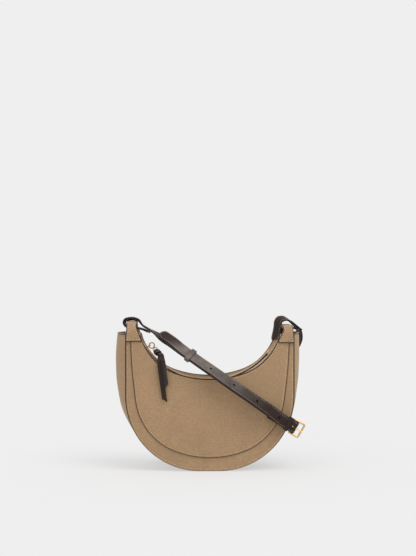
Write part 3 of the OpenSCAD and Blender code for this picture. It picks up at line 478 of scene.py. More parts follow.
def settle(obj):
    """Modifiers turned into plain mesh."""
    graph = bpy.context.evaluated_depsgraph_get()
    mesh = bpy.data.meshes.new_from_object(
        obj.evaluated_get(graph), preserve_all_data_layers=True, depsgraph=graph)
    obj.modifiers.clear()
    obj.data = mesh
    return obj


def keep(piece, body, slot, *nodes):
    """Puts a finished piece on its body and hides the nodes that it stands for. The slot is not used."""
    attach(piece, body)
    if nodes:
        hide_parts(*nodes)


def dressed(piece, look):
    piece.data.materials.clear()
    piece.data.materials.append(finish_of(look))
    return piece


SLOTS = {"suede": "suede", "leather": "dark_leather", "gold": "gold", "tape": "zip_tape", "lining": "lining"}


def dress(piece, look, body, *nodes):
    """Gives a piece its finish, and keeps it."""
    keep(dressed(piece, look), body, SLOTS[look], *nodes)


# Geometry Nodes

class Tree:
    """A Geometry Nodes tree with named inputs."""

    def __init__(self, name, inputs):
        self.tree = bpy.data.node_groups.new(name, "GeometryNodeTree")
        face = self.tree.interface
        face.new_socket("Path", in_out="INPUT", socket_type="NodeSocketGeometry")
        for label, kind, value in inputs:
            socket = face.new_socket(label, in_out="INPUT", socket_type="NodeSocket" + kind)
            if value is not None:
                socket.default_value = value
        face.new_socket("Result", in_out="OUTPUT", socket_type="NodeSocketGeometry")
        self.given = self.tree.nodes.new("NodeGroupInput").outputs

    def add(self, kind, settings=None, values=None):
        node = self.tree.nodes.new(kind)
        for key, value in (settings or {}).items():
            setattr(node, key, value)
        for key, value in (values or {}).items():
            if isinstance(value, bpy.types.NodeSocket):
                self.tree.links.new(value, node.inputs[key])
            else:
                node.inputs[key].default_value = value
        return node.outputs

    def spots(self):
        """Points along the given path, one pitch apart."""
        curve = self.add("GeometryNodeMeshToCurve", None, {"Mesh": self.given["Path"]})["Curve"]
        return self.add("GeometryNodeCurveToPoints", {"mode": "LENGTH"}, {
            "Curve": curve, "Length": self.given["Pitch"]})

    def lay(self, shape, spots, turned, size):
        """A shape on each point, made real."""
        laid = self.add("GeometryNodeInstanceOnPoints", None, {
            "Points": spots["Points"], "Instance": shape, "Rotation": turned, "Scale": size})["Instances"]
        return self.add("GeometryNodeRealizeInstances", None, {"Geometry": laid})[0]

    def end(self, shapes, material):
        """Gives the shapes their material, and ends the tree."""
        done = self.add("GeometryNodeSetMaterial", None, {
            "Geometry": shapes, "Material": self.given[material]})[0]
        result = self.tree.nodes.new("NodeGroupOutput")
        self.tree.links.new(done, result.inputs[0])
        return self

    def identifier(self, label):
        return next(s.identifier for s in self.tree.interface.items_tree if s.name == label)


def stitch_tree():
    """Rounded stitches laid along a path, each a little off from the last."""
    tree = Tree("Stitch row", (
        ("Pitch", "Float", 0.0036), ("Length", "Float", 0.0027), ("Thread radius", "Float", 0.00032),
        ("Seed", "Int", 7), ("Thread", "Material", None)))
    spots = tree.spots()
    turned = tree.add("FunctionNodeAlignRotationToVector", {"axis": "Z"}, {
        "Vector": spots["Tangent"]})["Rotation"]
    half = tree.add("ShaderNodeMath", {"operation": "MULTIPLY"}, {0: tree.given["Length"], 1: 0.5})[0]
    size = tree.add("ShaderNodeCombineXYZ", None, {
        "X": tree.given["Thread radius"], "Y": tree.given["Thread radius"], "Z": half})[0]
    vary = tree.add("FunctionNodeRandomValue", {"data_type": "FLOAT"}, {
        "Min": 0.88, "Max": 1.08, "Seed": tree.given["Seed"]})["Value"]
    scale = tree.add("ShaderNodeVectorMath", {"operation": "SCALE"}, {0: size, "Scale": vary})[0]
    ball = tree.add("GeometryNodeMeshUVSphere", None, {"Segments": 6, "Rings": 4, "Radius": 1.0})["Mesh"]
    real = tree.lay(ball, spots, turned, scale)
    soft = tree.add("GeometryNodeSetShadeSmooth", None, {"Geometry": real})[0]
    return tree.end(soft, "Thread")


def tooth_tree():
    """Zip teeth set square across an arc round the zip's centre."""
    tree = Tree("Zip teeth", (
        ("Pitch", "Float", 0.0027), ("Width", "Float", 0.0022), ("Thickness", "Float", 0.0011),
        ("Height", "Float", 0.0022), ("Centre height", "Float", ZIP_Z * MM), ("Metal", "Material", None)))
    spots = tree.spots()
    place = tree.add("ShaderNodeSeparateXYZ", None, {0: tree.add("GeometryNodeInputPosition")[0]})
    drop = tree.add("ShaderNodeMath", {"operation": "SUBTRACT"}, {
        0: tree.given["Centre height"], 1: place["Z"]})[0]
    angle = tree.add("ShaderNodeMath", {"operation": "ARCTAN2"}, {0: place["X"], 1: drop})[0]
    back = tree.add("ShaderNodeMath", {"operation": "MULTIPLY"}, {0: angle, 1: -1.0})[0]
    turned = tree.add("ShaderNodeCombineXYZ", None, {"Y": back})[0]
    size = tree.add("ShaderNodeCombineXYZ", None, {
        "X": tree.given["Thickness"], "Y": tree.given["Width"], "Z": tree.given["Height"]})[0]
    body = tree.add("GeometryNodeMeshCylinder", None, {
        "Vertices": 8, "Side Segments": 1, "Radius": 0.5, "Depth": 1.0})["Mesh"]
    return tree.end(tree.lay(body, spots, turned, size), "Metal")


trees = {}


def laid_along(name, kind, paths, **values):
    """A tree's shapes along several paths of points, as one plain mesh."""
    if kind not in trees:
        trees[kind] = {"stitch": stitch_tree, "tooth": tooth_tree}[kind]()
    tree = trees[kind]
    points, edges = [], []
    for path in paths:
        start = len(points)
        points += [tuple(float(c) * MM for c in p) for p in path]
        edges += [(i, i + 1) for i in range(start, len(points) - 1)]
    mesh = bpy.data.meshes.new(name)
    mesh.from_pydata(points, edges, [])
    obj = bpy.data.objects.new(name, mesh)
    bpy.context.scene.collection.objects.link(obj)
    modifier = obj.modifiers.new("Laid along", "NODES")
    modifier.node_group = tree.tree
    for label, value in values.items():
        modifier[tree.identifier(label.replace("_", " "))] = value
    return settle(obj)


def later(path, start):
    """A path of points without its first stretch of that length."""
    path = [np.asarray(p, float) for p in path]
    while len(path) > 2:
        gap = np.linalg.norm(path[1] - path[0])
        if gap > start:
            return [path[0] + (path[1] - path[0]) * start / gap] + path[1:]
        start, path = start - gap, path[1:]
    return path


def stitches(name, paths, look, seed):
    """Stitches along paths on the shell, and dark dots of painted shade for the needle holes between them."""
    sizes = bpy.context.scene.crescent_sizes
    thread, pitch, radius = {
        "suede": ("tan_thread", sizes.stitch_pitch, sizes.thread_radius),
        "leather": ("dark_thread", sizes.strap_pitch, sizes.strap_thread_radius)}[look]
    rows = laid_along(name, "stitch", paths, Pitch=pitch, Length=sizes.stitch_length, Thread_radius=radius,
                      Seed=seed, Thread=finish_of(thread))
    between = [later(path, pitch / MM / 2) for path in paths]
    # Painted shade: small dark balls between the stitches stand in for the shadow inside the needle holes.
    holes = laid_along(name + "_holes", "stitch", between, Pitch=pitch, Length=HOLE_LENGTH * MM,
                       Thread_radius=HOLE_R * MM, Seed=seed, Thread=finish_of("needle_hole"))
    for piece in (rows, holes):
        keep(piece, "shell", SLOTS[look])


# Materials

# The light grey of the painted sheen on the upper part of the strap
PAINTED_SHEEN_LEATHER = (158, 146, 138)
BOARD_DARK, BOARD_LIGHT = (112, 100, 86), (150, 138, 120)
TAPE_WEAVE, LINING_WEAVE = 0.0008, 0.0005


class Wire:
    """A shader socket that takes part in sums."""

    def __init__(self, finish, socket):
        self.finish, self.socket = finish, socket

    def sum(self, operation, a, b):
        return self.finish.add("ShaderNodeMath", {"operation": operation}, a, b)

    def __add__(self, other):
        return self.sum("ADD", self, other)

    def __sub__(self, other):
        return self.sum("SUBTRACT", self, other)

    def __rsub__(self, other):
        return self.sum("SUBTRACT", other, self)

    def __mul__(self, other):
        return self.sum("MULTIPLY", self, other)

    __radd__, __rmul__ = __add__, __mul__


class Finish:
    """A material built node by node."""

    def __init__(self, name):
        self.material = bpy.data.materials.new(name)
        self.material.use_nodes = True
        self.nodes, self.links = self.material.node_tree.nodes, self.material.node_tree.links
        self.shader = self.nodes["Principled BSDF"]

    def add(self, kind, settings=None, *values, out=0, **named):
        """One node: its settings, then its socket values or links in order or by name."""
        node = self.nodes.new(kind)
        for key, value in (settings or {}).items():
            setattr(node, key, value)
        for key, value in [*enumerate(values), *((k.replace("_", " "), v) for k, v in named.items())]:
            self.put(node.inputs[key], value)
        return Wire(self, node.outputs[out])

    def put(self, socket, value):
        if isinstance(value, Wire):
            self.links.new(value.socket, socket)
        elif value is not None:
            colour = socket.type == "RGBA" and len(value) == 3
            socket.default_value = (*value, 1) if colour else value

    def mix(self, share, a, b):
        node = self.nodes.new("ShaderNodeMix")
        node.data_type = "RGBA"
        for key, value in ((0, share), (6, a), (7, b)):
            self.put(node.inputs[key], value)
        return Wire(self, node.outputs[2])

    def span(self, value, low, high, to_low=0.0, to_high=1.0):
        return self.add("ShaderNodeMapRange", {"interpolation_type": "SMOOTHSTEP"},
                        value, low, high, to_low, to_high)

    def noise(self, where, scale, detail=3.0, rough=0.5, warp=0.0):
        return self.add("ShaderNodeTexNoise", None, Vector=where, Scale=scale, Detail=detail, Roughness=rough,
                        Distortion=warp)

    def place(self):
        return self.add("ShaderNodeTexCoord", None, out=3)

    def uv(self):
        return self.add("ShaderNodeTexCoord", None, out=2)

    def stretched(self, where, scale):
        return self.add("ShaderNodeMapping", {"vector_type": "POINT"}, where, Scale=scale)

    def bump(self, height, depth, strength):
        return self.add("ShaderNodeBump", None, Height=height, Distance=depth, Strength=strength)

    def painted(self, colour, rough, paint, paint_rough=0.42):
        """The dark paint of a cut edge over a face, where the edge attribute falls below zero."""
        edge = self.add("ShaderNodeAttribute", {"attribute_name": "edge"}, out=2)
        wander = self.noise(self.place(), 420.0) * 0.3 - 0.15
        bare = self.span(edge + wander, -0.16, 0.16)
        return self.mix(bare, paint, colour), bare * rough + (1 - bare) * paint_rough, bare

    def shade(self, **values):
        for key, value in values.items():
            self.put(self.shader.inputs[key.replace("_", " ")], value)
        return self.material


def linear(rgb):
    """A colour of 0 to 255 as the renderer counts it."""
    return tuple(((c / 255 + 0.055) / 1.055) ** 2.4 if c > 10 else c / 3294.6 for c in rgb)


def toned(colour, share):
    """A colour made darker or lighter."""
    return tuple(min(1, c * share) for c in colour)


def suede(look):
    f = Finish("suede")
    where, tan = f.place(), tuple(look.suede)
    cloud = f.noise(where, 26.0, detail=4.0, rough=0.55, warp=0.4)
    brushed = f.noise(f.stretched(where, (60.0, 60.0, 170.0)), 1.0, rough=0.6, warp=0.6)
    mottle = f.noise(f.stretched(where, (330.0, 330.0, 620.0)), 1.0, rough=0.62, warp=0.5)
    nap = f.noise(where, 1300.0, detail=2.0, rough=0.7)
    fibre = f.noise(where, 3600.0, detail=1.0)
    colour = f.mix(f.span(cloud, 0.35, 0.65), toned(tan, 0.8), toned(tan, 1.2))
    colour = f.mix(f.span(brushed, 0.42, 0.6) * 0.35, colour, toned(tan, 1.2))
    colour = f.mix(0.7, colour, tan)
    colour = f.mix(f.span(mottle, 0.4, 0.62) * 0.5, colour, toned(tan, 0.7))
    colour = f.mix(f.span(nap, 0.38, 0.62) * 0.25, colour, toned(tan, 0.62))
    colour, rough, _ = f.painted(colour, 0.93, tuple(look.edge_paint))
    height = nap * 0.5 + fibre * 0.3 + cloud * 0.4 + mottle * 0.6
    return f.shade(Base_Color=colour, Roughness=rough, Normal=f.bump(height, 0.00035, 0.55),
                   Sheen_Weight=0.25, Sheen_Roughness=0.55, Sheen_Tint=(1.0, 0.86, 0.68),
                   Specular_IOR_Level=0.18)


def leather(look):
    f = Finish("dark leather")
    where, brown = f.place(), tuple(look.leather)
    grain = f.add("ShaderNodeTexVoronoi", {"feature": "DISTANCE_TO_EDGE"},
                  Vector=f.stretched(f.uv(), (1050.0, 1500.0, 1.0)), Scale=1.0, Randomness=0.9)
    crease = f.span(grain, 0.0, 0.22)
    cloud = f.noise(where, 60.0)
    fine = f.noise(where, 2200.0, detail=2.0)
    colour = f.mix(f.span(cloud, 0.35, 0.65), toned(brown, 0.75), toned(brown, 1.35))
    colour = f.mix(crease, toned(brown, 0.5), colour)
    x, z = (f.add("ShaderNodeSeparateXYZ", None, where, out=axis) for axis in (0, 2))
    # Painted sheen: between these heights, and right of the puller, the strap's colour is mixed towards light
    # grey, as if it caught the light from above.
    painted_sheen = f.span(z, 0.085, 0.145) * f.span(z, 0.158, 0.172, 1.0, 0.0) * f.span(x, -0.062, -0.045)
    painted_sheen = painted_sheen * (0.24 + f.span(cloud, 0.35, 0.65) * 0.2)
    colour = f.mix(painted_sheen, colour, linear(PAINTED_SHEEN_LEATHER))
    face_rough = f.span(cloud, 0.3, 0.7, 0.4, 0.5)
    colour, rough, bare = f.painted(colour, face_rough, tuple(look.edge_paint), 0.36)
    height = (crease * 0.75 + fine * 0.25) * bare
    return f.shade(Base_Color=colour, Roughness=rough, Normal=f.bump(height, 0.00012, 0.8),
                   Specular_IOR_Level=0.22, Coat_Roughness=0.3, Coat_Weight=0.05)


def gold(look):
    f = Finish("pale gold")
    where, brass = f.place(), tuple(look.gold)
    haze = f.noise(where, 240.0)
    scratch = f.noise(f.stretched(where, (400.0, 3000.0, 400.0)), 1.0, detail=2.0)
    colour = f.mix(f.span(haze, 0.35, 0.65), toned(brass, 0.9), brass)
    rough = f.span(haze, 0.3, 0.7, 0.18, 0.28) + f.span(scratch, 0.55, 0.8) * 0.06
    return f.shade(Base_Color=colour, Roughness=rough, Metallic=1.0, Normal=f.bump(scratch, 0.00001, 0.4))


def thread(name, colour):
    f = Finish(name)
    twist = f.add("ShaderNodeTexWave", {"bands_direction": "DIAGONAL"}, Vector=f.place(), Scale=900.0,
                  Distortion=0.5)
    shade = f.mix(twist, toned(colour, 0.7), toned(colour, 1.15))
    return f.shade(Base_Color=shade, Roughness=0.6, Normal=f.bump(twist, 0.00005, 0.5))


def woven(name, colour, pitch):
    """Plain weave, with its threads along the piece's own map."""
    f = Finish(name)
    flat = f.uv()
    warp, weft = (f.add("ShaderNodeTexWave", {"bands_direction": way}, Vector=flat, Scale=0.5 / pitch,
                        Distortion=0.0) for way in ("X", "Y"))
    weave = warp * weft
    fuzz = f.noise(f.place(), 900.0)
    shade = f.mix(weave * 0.35 + fuzz * 0.2, toned(colour, 0.72), toned(colour, 1.18))
    return f.shade(Base_Color=shade, Roughness=0.85, Normal=f.bump(weave + fuzz * 0.4, 0.00018, 0.7))


def board_finish():
    f = Finish("fibre board")
    fleck = f.noise(f.place(), 700.0, detail=4.0, rough=0.7)
    shade = f.mix(f.span(fleck, 0.35, 0.7), linear(BOARD_DARK), linear(BOARD_LIGHT))
    return f.shade(Base_Color=shade, Roughness=0.9, Normal=f.bump(fleck, 0.0001, 0.6))


finishes = {}


def finish_of(name):
    """The material of a name, made the first time that it is asked for."""
    if name not in finishes:
        look = bpy.context.scene.crescent_colours
        finishes[name] = {
            "suede": lambda: suede(look),
            "leather": lambda: leather(look),
            "gold": lambda: gold(look),
            "tan_thread": lambda: thread("tan thread", tuple(look.tan_thread)),
            "dark_thread": lambda: thread("dark thread", tuple(look.dark_thread)),
            "tape": lambda: woven("zip tape", tuple(look.tape), TAPE_WEAVE),
            "lining": lambda: woven("lining cloth", tuple(look.lining), LINING_WEAVE),
            "board": board_finish,
            "needle_hole": lambda: thread("needle hole", tuple(look.needle_hole)),
        }[name]()
    return finishes[name]


# Panels

def near_rows(curve):
    """A curve's rows close to its cut edge."""
    return [(curve(d), d) for d in EDGE_STEPS]


def panel_grid(low_rows, high_rows, middle, y_out):
    """Rows of points from a low edge to a high one over the dome, with their distances from both edges."""
    low, high = low_rows[-1][0], high_rows[-1][0]
    rows = [(c, d, FAR) for c, d in low_rows]
    rows += [(low + (high - low) * t, FAR, FAR) for t in steps(0, 1, middle)[1:-1]]
    rows += [(c, FAR, d) for c, d in reversed(high_rows)]
    grid = np.array([[(x, y_out + dome(x, z), z) for x, z in c] for c, low_d, high_d in rows])
    dist = np.array([[min(low_d, high_d)] * len(c) for c, low_d, high_d in rows])
    return grid, dist


def border_paint(grid):
    """The edge paint shows more on the upright sides than round the base."""
    rise = np.clip((grid[..., 2] - BORDER_PAINT_Z) / BORDER_PAINT_H, 0, 1)
    return BORDER_PAINT + BORDER_PAINT_RISE * rise


def make_panels():
    for side, sign in SIDES:
        out = (0, sign, 0)
        grid, dist = panel_grid(near_rows(outline), [(border_line(LAP), FAR)], 6, BORDER_Y)
        piece = closed_sheet(side + "_border_suede", grid * (1, sign, 1), SUEDE_T, out, dist,
                             border_paint(grid))
        dress(piece, "suede", "shell", side + "_border")
        grid, dist = panel_grid(near_rows(border_line), near_rows(mouth), 26, CENTRE_Y)
        paint = np.where(np.arange(len(grid)) < len(grid) / 2, PANEL_PAINT, MOUTH_PAINT)[:, None]
        piece = closed_sheet(side + "_panel_suede", grid * (1, sign, 1), SUEDE_T, out, dist, paint)
        dress(piece, "suede", "shell", side + "_panel")
        rows = [[(x, sign * (y_out - PANEL_SINK + dome(x, z)), z) for x, z in curve(STITCH_IN)[3:-3]]
                for curve, y_out in ((outline, BORDER_Y), (border_line, CENTRE_Y), (mouth, CENTRE_Y))]
        stitches(side + "_panel_stitches", rows, "suede", 3 - sign)


def make_gusset():
    curve = outline(0, GUSSET_TOP_Z)
    away, lengths = outward(curve), run_length(curve)
    near_end = np.minimum(lengths, lengths[-1] - lengths)
    shares = steps(-1, 1, 28)
    grid = []
    for s in shares:
        crease = CREASE * (1 - s * s) * np.sin(lengths / 9.0) * np.sin(lengths / 23.0 + 2.2 * s)
        ring = curve + away * (bulge(curve[:, 0], curve[:, 1], s) + crease)[:, None]
        grid.append([(x, s * FLANGE_Y, z) for x, z in ring])
    grid = np.array(grid)
    piece = closed_sheet("gusset_suede", grid, BOARD_T, (0, 0, -1), [near_end] * len(shares), GUSSET_PAINT)
    dress(piece, "suede", "shell", *[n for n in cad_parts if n.startswith("gusset")])
    rows = []
    for place in (STITCH_IN, lengths[-1] - STITCH_IN):
        near = int(np.argmin(abs(lengths - place)))
        sunk = np.array((away[near][0], 0, away[near][1])) * HEM_SINK
        rows.append(list(grid[2:-2, near] - sunk))
    stitches("gusset_hem_stitches", rows, "suede", 11)


def bridge_sides(z, top):
    """A left bridge's edges in x at a height."""
    f = np.clip((z - FOOT_Z) / (top - BRIDGE_BEND_R / 2 - FOOT_Z), 0, 1)
    left = -BRIDGE_X + BRIDGE_LEAN * f
    return left, -BRIDGE_X + BRIDGE_FOOT_W + (BRIDGE_LEAN + BRIDGE_TOP_W - BRIDGE_FOOT_W) * f


def bridge_path(top, low):
    """Places and lengths along a bridge, from its front foot over the top to its back foot."""
    r, flat = BRIDGE_BEND_R, TAB_Y - BRIDGE_BEND_R
    end = [low + d for d in EDGE_STEPS] + steps(low + EDGE_STEPS[-1] + 1, top - r, 10)
    front = [(-TAB_Y, z) for z in end]
    front += [(-flat - r * math.cos(a), top - r + r * math.sin(a)) for a in steps(0, math.pi / 2, 12)[1:]]
    over = [(y, top) for y in steps(-flat, flat, 16)[1:-1]]
    return np.array(front + over + [(-y, z) for y, z in reversed(front)])


def make_bridges():
    rows = []
    sides = (("left", 1, BRIDGE_Z), ("right", -1, BRIDGE_Z - BRIDGE_DROP))
    for (side, mirror, top), foot_in in zip(sides, BRIDGE_FOOT_IN):
        path = bridge_path(top, FOOT_Z - foot_in)
        left, right = bridge_sides(path[:, 1], top)
        length = run_length(path)
        near_end = np.minimum(length, length[-1] - length)
        grid, dist = [], []
        for k, (y, z) in enumerate(path):
            w, last = right[k] - left[k], EDGE_STEPS[-1]
            spots = [*EDGE_STEPS, *steps(last, w - last, 5)[1:-1], *[w - d for d in reversed(EDGE_STEPS)]]
            grid.append([(mirror * (left[k] + spot), y, z) for spot in spots])
            dist.append([min(spot, w - spot, near_end[k]) for spot in spots])
        grid = np.array(grid)
        piece = closed_sheet(f"bridge_{side}_suede", grid, SUEDE_T, (0, 0, 1), dist, BRIDGE_PAINT)
        dress(piece, "suede", "shell", "bridge_" + side)
        sunk = grid - face_normals(grid, (0, 0, 1)) * BRIDGE_SINK
        inside = np.flatnonzero(near_end >= STITCH_IN - 0.01)
        col = EDGE_STEPS.index(STITCH_IN)
        rows += [list(sunk[inside, col]), list(sunk[inside, -1 - col])]
        rows += [list(sunk[k, col:sunk.shape[1] - col]) for k in (inside[0], inside[-1])]
    stitches("bridge_stitches", rows, "suede", 17)


def make_horn_caps():
    for side, mirror in (("left", -1), ("right", 1)):
        x0, _, z0 = zip_point(ZIP_END, STRIP_R + BOARD_T)
        x2, z3 = HALF_W - 2 * BOARD_T, GUSSET_TOP_Z - HORN_CAP_BELOW
        grid = []
        for s in steps(-1, 1, 20):
            x3, y = HALF_W - BOARD_T - FIT + bulge(mirror, GUSSET_TOP_Z, s), s * (LINING_Y - FIT)
            line = [(x0 + FIT, z0), ((x0 + x2) / 2, (z0 + z3) / 2 + BOARD_T / 2),
                    (x2, z3 - BOARD_T / 2), (x3, z3)]
            grid.append([(mirror * x, y, z) for x, z in smooth([np.array(place) for place in line], 5)])
        # Painted shade: the whole cap takes the dark edge paint, so it looks as dark as a shaded hollow
        # between the gusset's rims.
        piece = closed_sheet(f"horn_cap_{side}_suede", grid, BOARD_T, (0, 0, 1), paint=2 * FAR)
        dress(piece, "suede", "shell", "horn_cap_" + side)


# Zip

def zip_point(a, r, y=0.0, step=0.0):
    c, s = math.cos(math.radians(a)), math.sin(math.radians(a))
    return np.array((r * s + step * c, y, ZIP_Z - r * c + step * s))


def make_strips():
    """The strips beside the zip, each turned up inside its panel's mouth."""
    low, high = zip_curve(STRIP_R), mouth(0.5)
    gap = np.linalg.norm(high - low, axis=1)
    rows = []
    for side, sign in SIDES:
        grid, dist = [], []

        def lay(share, y, near):
            grid.append([(x, sign * y, z) for x, z in low + (high - low) * share])
            dist.append(near)

        for y in [STRIP_IN + d for d in EDGE_STEPS] + steps(STRIP_IN + 7, FLANGE_Y - TURN_IN, 6):
            lay(0, y, np.full(len(low), y - STRIP_IN))
        for a in steps(0, math.pi / 2, 5)[1:]:
            lay(TURN_R * (1 - math.cos(a)) / TURN_RUN, FLANGE_Y - TURN_IN + TURN_R * math.sin(a),
                np.full(len(low), FAR))
        for share in (0.4, 0.55, 0.7, 0.85, 0.93, 1.0):
            lay(share, FLANGE_Y - TURN_IN + TURN_R, gap * (1 - share))
        piece = closed_sheet(f"top_strip_{side}_suede", grid, STRIP_T, (0, 0, 1), dist, STRIP_PAINT)
        dress(piece, "suede", "shell", "top_strip_" + side)
        edge = np.array(grid[EDGE_STEPS.index(STITCH_IN)][4:-4])
        rows.append(list(edge - (0, 0, STRIP_SINK)))
    stitches("zip_strip_stitches", rows, "suede", 23)


def make_zip():
    """Both halves of the zip, each laid in a left and a right run of tape and teeth."""
    # Each run's name, where its tape and its teeth begin and end, and where it bends from and to
    runs = (("left", ZIP_LEFT, 0, SLIDER_A, 0, ZIP_LEFT, -20),
            ("right", 0, ZIP_RIGHT, 0.2, ZIP_RIGHT - 1.5, ZIP_RIGHT, 10))
    for side, sign in SIDES:
        lag = 0 if side == "front" else TOOTH_STAGGER
        for part, low, high, first, last, fixed, free in runs:
            grid = [[zip_point(a, ZIP_R - TAPE_DROP, sign * y) for a in steps(low, high, 40)]
                    for y in (TAPE_IN, TAPE_IN + 0.5, *steps(TAPE_IN + 2, TAPE_OUT, 8))]
            tape = dressed(closed_sheet(f"zip_tape_{side}_{part}", grid, TAPE_T, (0, 0, 1)), "tape")
            path = [zip_point(a, ZIP_R, sign * TOOTH_Y) for a in steps(first + lag, last, 60)]
            teeth = laid_along(f"zip_teeth_{side}_{part}", "tooth", [path], Metal=finish_of("gold"),
                               Pitch=TOOTH_PITCH * MM)
            for piece, slot, node in ((tape, "zip_tape", "zip_tape_"), (teeth, "gold", "zip_teeth_")):
                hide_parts(node + side)
                tuple(zip_point(fixed, ZIP_R) * MM)
                tuple(zip_point(free, ZIP_R) * MM)
                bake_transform(piece)


def make_zip_ends():
    """The suede tongues that carry the zip on to both horns."""
    w = 2 * (STRIP_IN - FIT)
    spots = [*EDGE_STEPS, *steps(6, w - 6, 6), *[w - d for d in reversed(EDGE_STEPS)]]
    for side, low, high, n in (("left", -ZIP_END, ZIP_LEFT - 0.2, 8), ("right", ZIP_RIGHT + 2, ZIP_END, 24)):
        grid = [[zip_point(a, STRIP_R, w / 2 - spot) for a in steps(low, high, n)] for spot in spots]
        dist = [[min(spot, w - spot)] * (n + 1) for spot in spots]
        piece = closed_sheet(f"zip_end_{side}_suede", grid, BOARD_T, (0, 0, 1), dist, TONGUE_PAINT)
        dress(piece, "suede", "shell", "zip_end_" + side)


def beveled(obj, width):
    modifier = obj.modifiers.new("Rounded", "BEVEL")
    modifier.width, modifier.segments = width * MM, 2
    modifier.limit_method, modifier.angle_limit = "ANGLE", math.radians(35)
    return settle(obj)


def flat_block(name, plan, low, high, place):
    """A flat block from a plan outline, between two heights, set by the function place."""
    return sweep(name, [[place(x, y, h) for x, y in plan] for h in (low, high)], sharp=30)


def rounded_plan(length, width_back, width_front, r, n=6):
    """A plate seen from above: as wide at the back and in front as given, with round corners."""
    corners = ((-length / 2, -width_back / 2, 180), (length / 2, -width_front / 2, 270),
               (length / 2, width_front / 2, 0), (-length / 2, width_back / 2, 90))
    out = []
    for x, y, start in corners:
        out += arc(x - math.copysign(r, x), y - math.copysign(r, y), r, start, start + 90, n)
    return out


def band_loop(s, middle, w, h, r):
    """A ring of a band round a place, in the cross section of the station s."""
    return [middle + s[2] * a + s[3] * b for a, b in rounded_plan(w, h, h, r, 4)]


def make_slider():
    def place(x, y, h):
        return zip_point(SLIDER_A + math.degrees(x / ZIP_R), ZIP_R - h, y)

    plate = rounded_plan(SLIDER_L, SLIDER_BACK_W, SLIDER_FRONT_W, 2.2)
    wedge = [(x - 3.6, y) for x, y in rounded_plan(2.4, 1.8, 1.2, 0.4, 3)]
    blocks = [("slider_top", plate, SLIDER_IN, SLIDER_OUT, 0.35),
              ("slider_bottom", plate, -SLIDER_OUT, -SLIDER_IN, 0.35),
              ("slider_wedge", wedge, -RAIL_OUT, RAIL_OUT, 0.15)]
    for side in (-1, 1):
        rail = [(x, side * (w / 2 - 0.5) + edge) for x, w, edge in
                ((-4, SLIDER_BACK_W, -0.5), (2.6, 7.4, -0.5), (2.6, 7.4, 0.5), (-4, SLIDER_BACK_W, 0.5))]
        blocks += [("slider_rail", rail, RAIL_IN, RAIL_OUT, 0.12),
                   ("slider_rail", rail, -RAIL_OUT, -RAIL_IN, 0.12)]
    parts = [beveled(flat_block(name, plan, low, high, place), width)
             for name, plan, low, high, width in blocks]
    half = [(-BAIL_REACH, 2.7), (-BAIL_REACH, 5.8), (-BAIL_REACH + 0.5, 7.8), (-BAIL_REACH + 1.6, 8.6)]
    bail = half + [(0, BAIL_TOP)] + [(-y, h) for y, h in reversed(half)]
    path = smooth([zip_point(SLIDER_A, ZIP_R - h, y, BAIL_AHEAD) for y, h in bail], 5)
    parts.append(ring_tube("slider_bail", path, BAIL_WIRE_R, 10, across=(1, 0, 0.3)))
    dress(joined("slider_brass", parts), "gold", "slider", "zip_slider")


# Puller

RING = np.array((-75.848, 0, 161.428))
LINK = np.array((-72.858, 0, 159.334))
LINK_TURN, LINK_LEAN = math.radians(30), math.radians(35)
RING_R, RING_WIRE = 3.65, 1.5
LINK_WIRE, LINK_W, LINK_L, LINK_LOOP_R = 1.1, 5.4, 4.0, 0.5
EYE_R = (RING_WIRE + LINK_WIRE) / 2 + 0.4
PULLER_W, PULLER_T = 6.2, 1.3
LEAF_FAN = 2.3
LEAF_GAP = 0.1
LEAF_SHORTER = 18
PULLER_FINE = 10
WRAP_T = 0.9


def in_link(x, y, z):
    """A place in the link's frame, where Z runs back along it and X along the ring's wire."""
    turned = Matrix.Rotation(-LINK_TURN, 3, "Y") @ Matrix.Rotation(-LINK_LEAN, 3, "X") @ Vector((x, y, z))
    return LINK + np.array(turned)


def make_ring_and_link():
    circle = [RING + RING_R * np.array((math.cos(a), 0, math.sin(a))) for a in turn(48)]
    dress(ring_tube("pull_ring_brass", circle, RING_WIRE / 2, 14, True), "gold", "ring", "pull_ring")
    eye = [in_link(0, EYE_R * math.cos(a), EYE_R * math.sin(a)) for a in turn(36)]
    w, low, high, r = LINK_W / 2, -EYE_R - LINK_L, -EYE_R, 1.0
    loop = []
    for cx, cz, start in ((w - r, low + r, 270), (w - r, high - r, 0),
                          (-w + r, high - r, 90), (-w + r, low + r, 180)):
        loop += [in_link(x, 0, z) for x, z in arc(cx, cz, r, start, start + 90, 6)]
    parts = [ring_tube("link_eye", eye, LINK_WIRE / 2, 12, True, in_link(1, 0, 0) - LINK),
             ring_tube("link_loop", loop, LINK_LOOP_R, 12, True, in_link(0, 1, 0) - LINK)]
    dress(joined("pull_link_brass", parts), "gold", "pull", "pull_link")


def smooth(rows, n):
    """Points along a route, with the route's own points among them."""
    out = []
    for k in range(len(rows) - 1):
        a, b, c, d = rows[max(0, k - 1)], rows[k], rows[k + 1], rows[min(len(rows) - 1, k + 2)]
        for i in range(n):
            t = i / n
            out.append(b + (c - a) * t / 2 + (a - 2.5 * b + 2 * c - d / 2) * t * t
                       + (1.5 * (b - c) + (d - a) / 2) * t ** 3)
    return out + [rows[-1]]


def stations(rows):
    """Place, way along, way across and way out of the face at each row of a route."""
    rows = np.array(rows, float)
    place, side, here = rows[:, :3], rows[:, 3:6], np.arange(len(rows))
    ahead = unit(place[np.minimum(here + 1, len(rows) - 1)] - place[np.maximum(here - 1, 0)])
    across = unit(side - (side * ahead).sum(1)[:, None] * ahead)
    return [np.array(s) for s in zip(place, ahead, across, np.cross(across, ahead))]


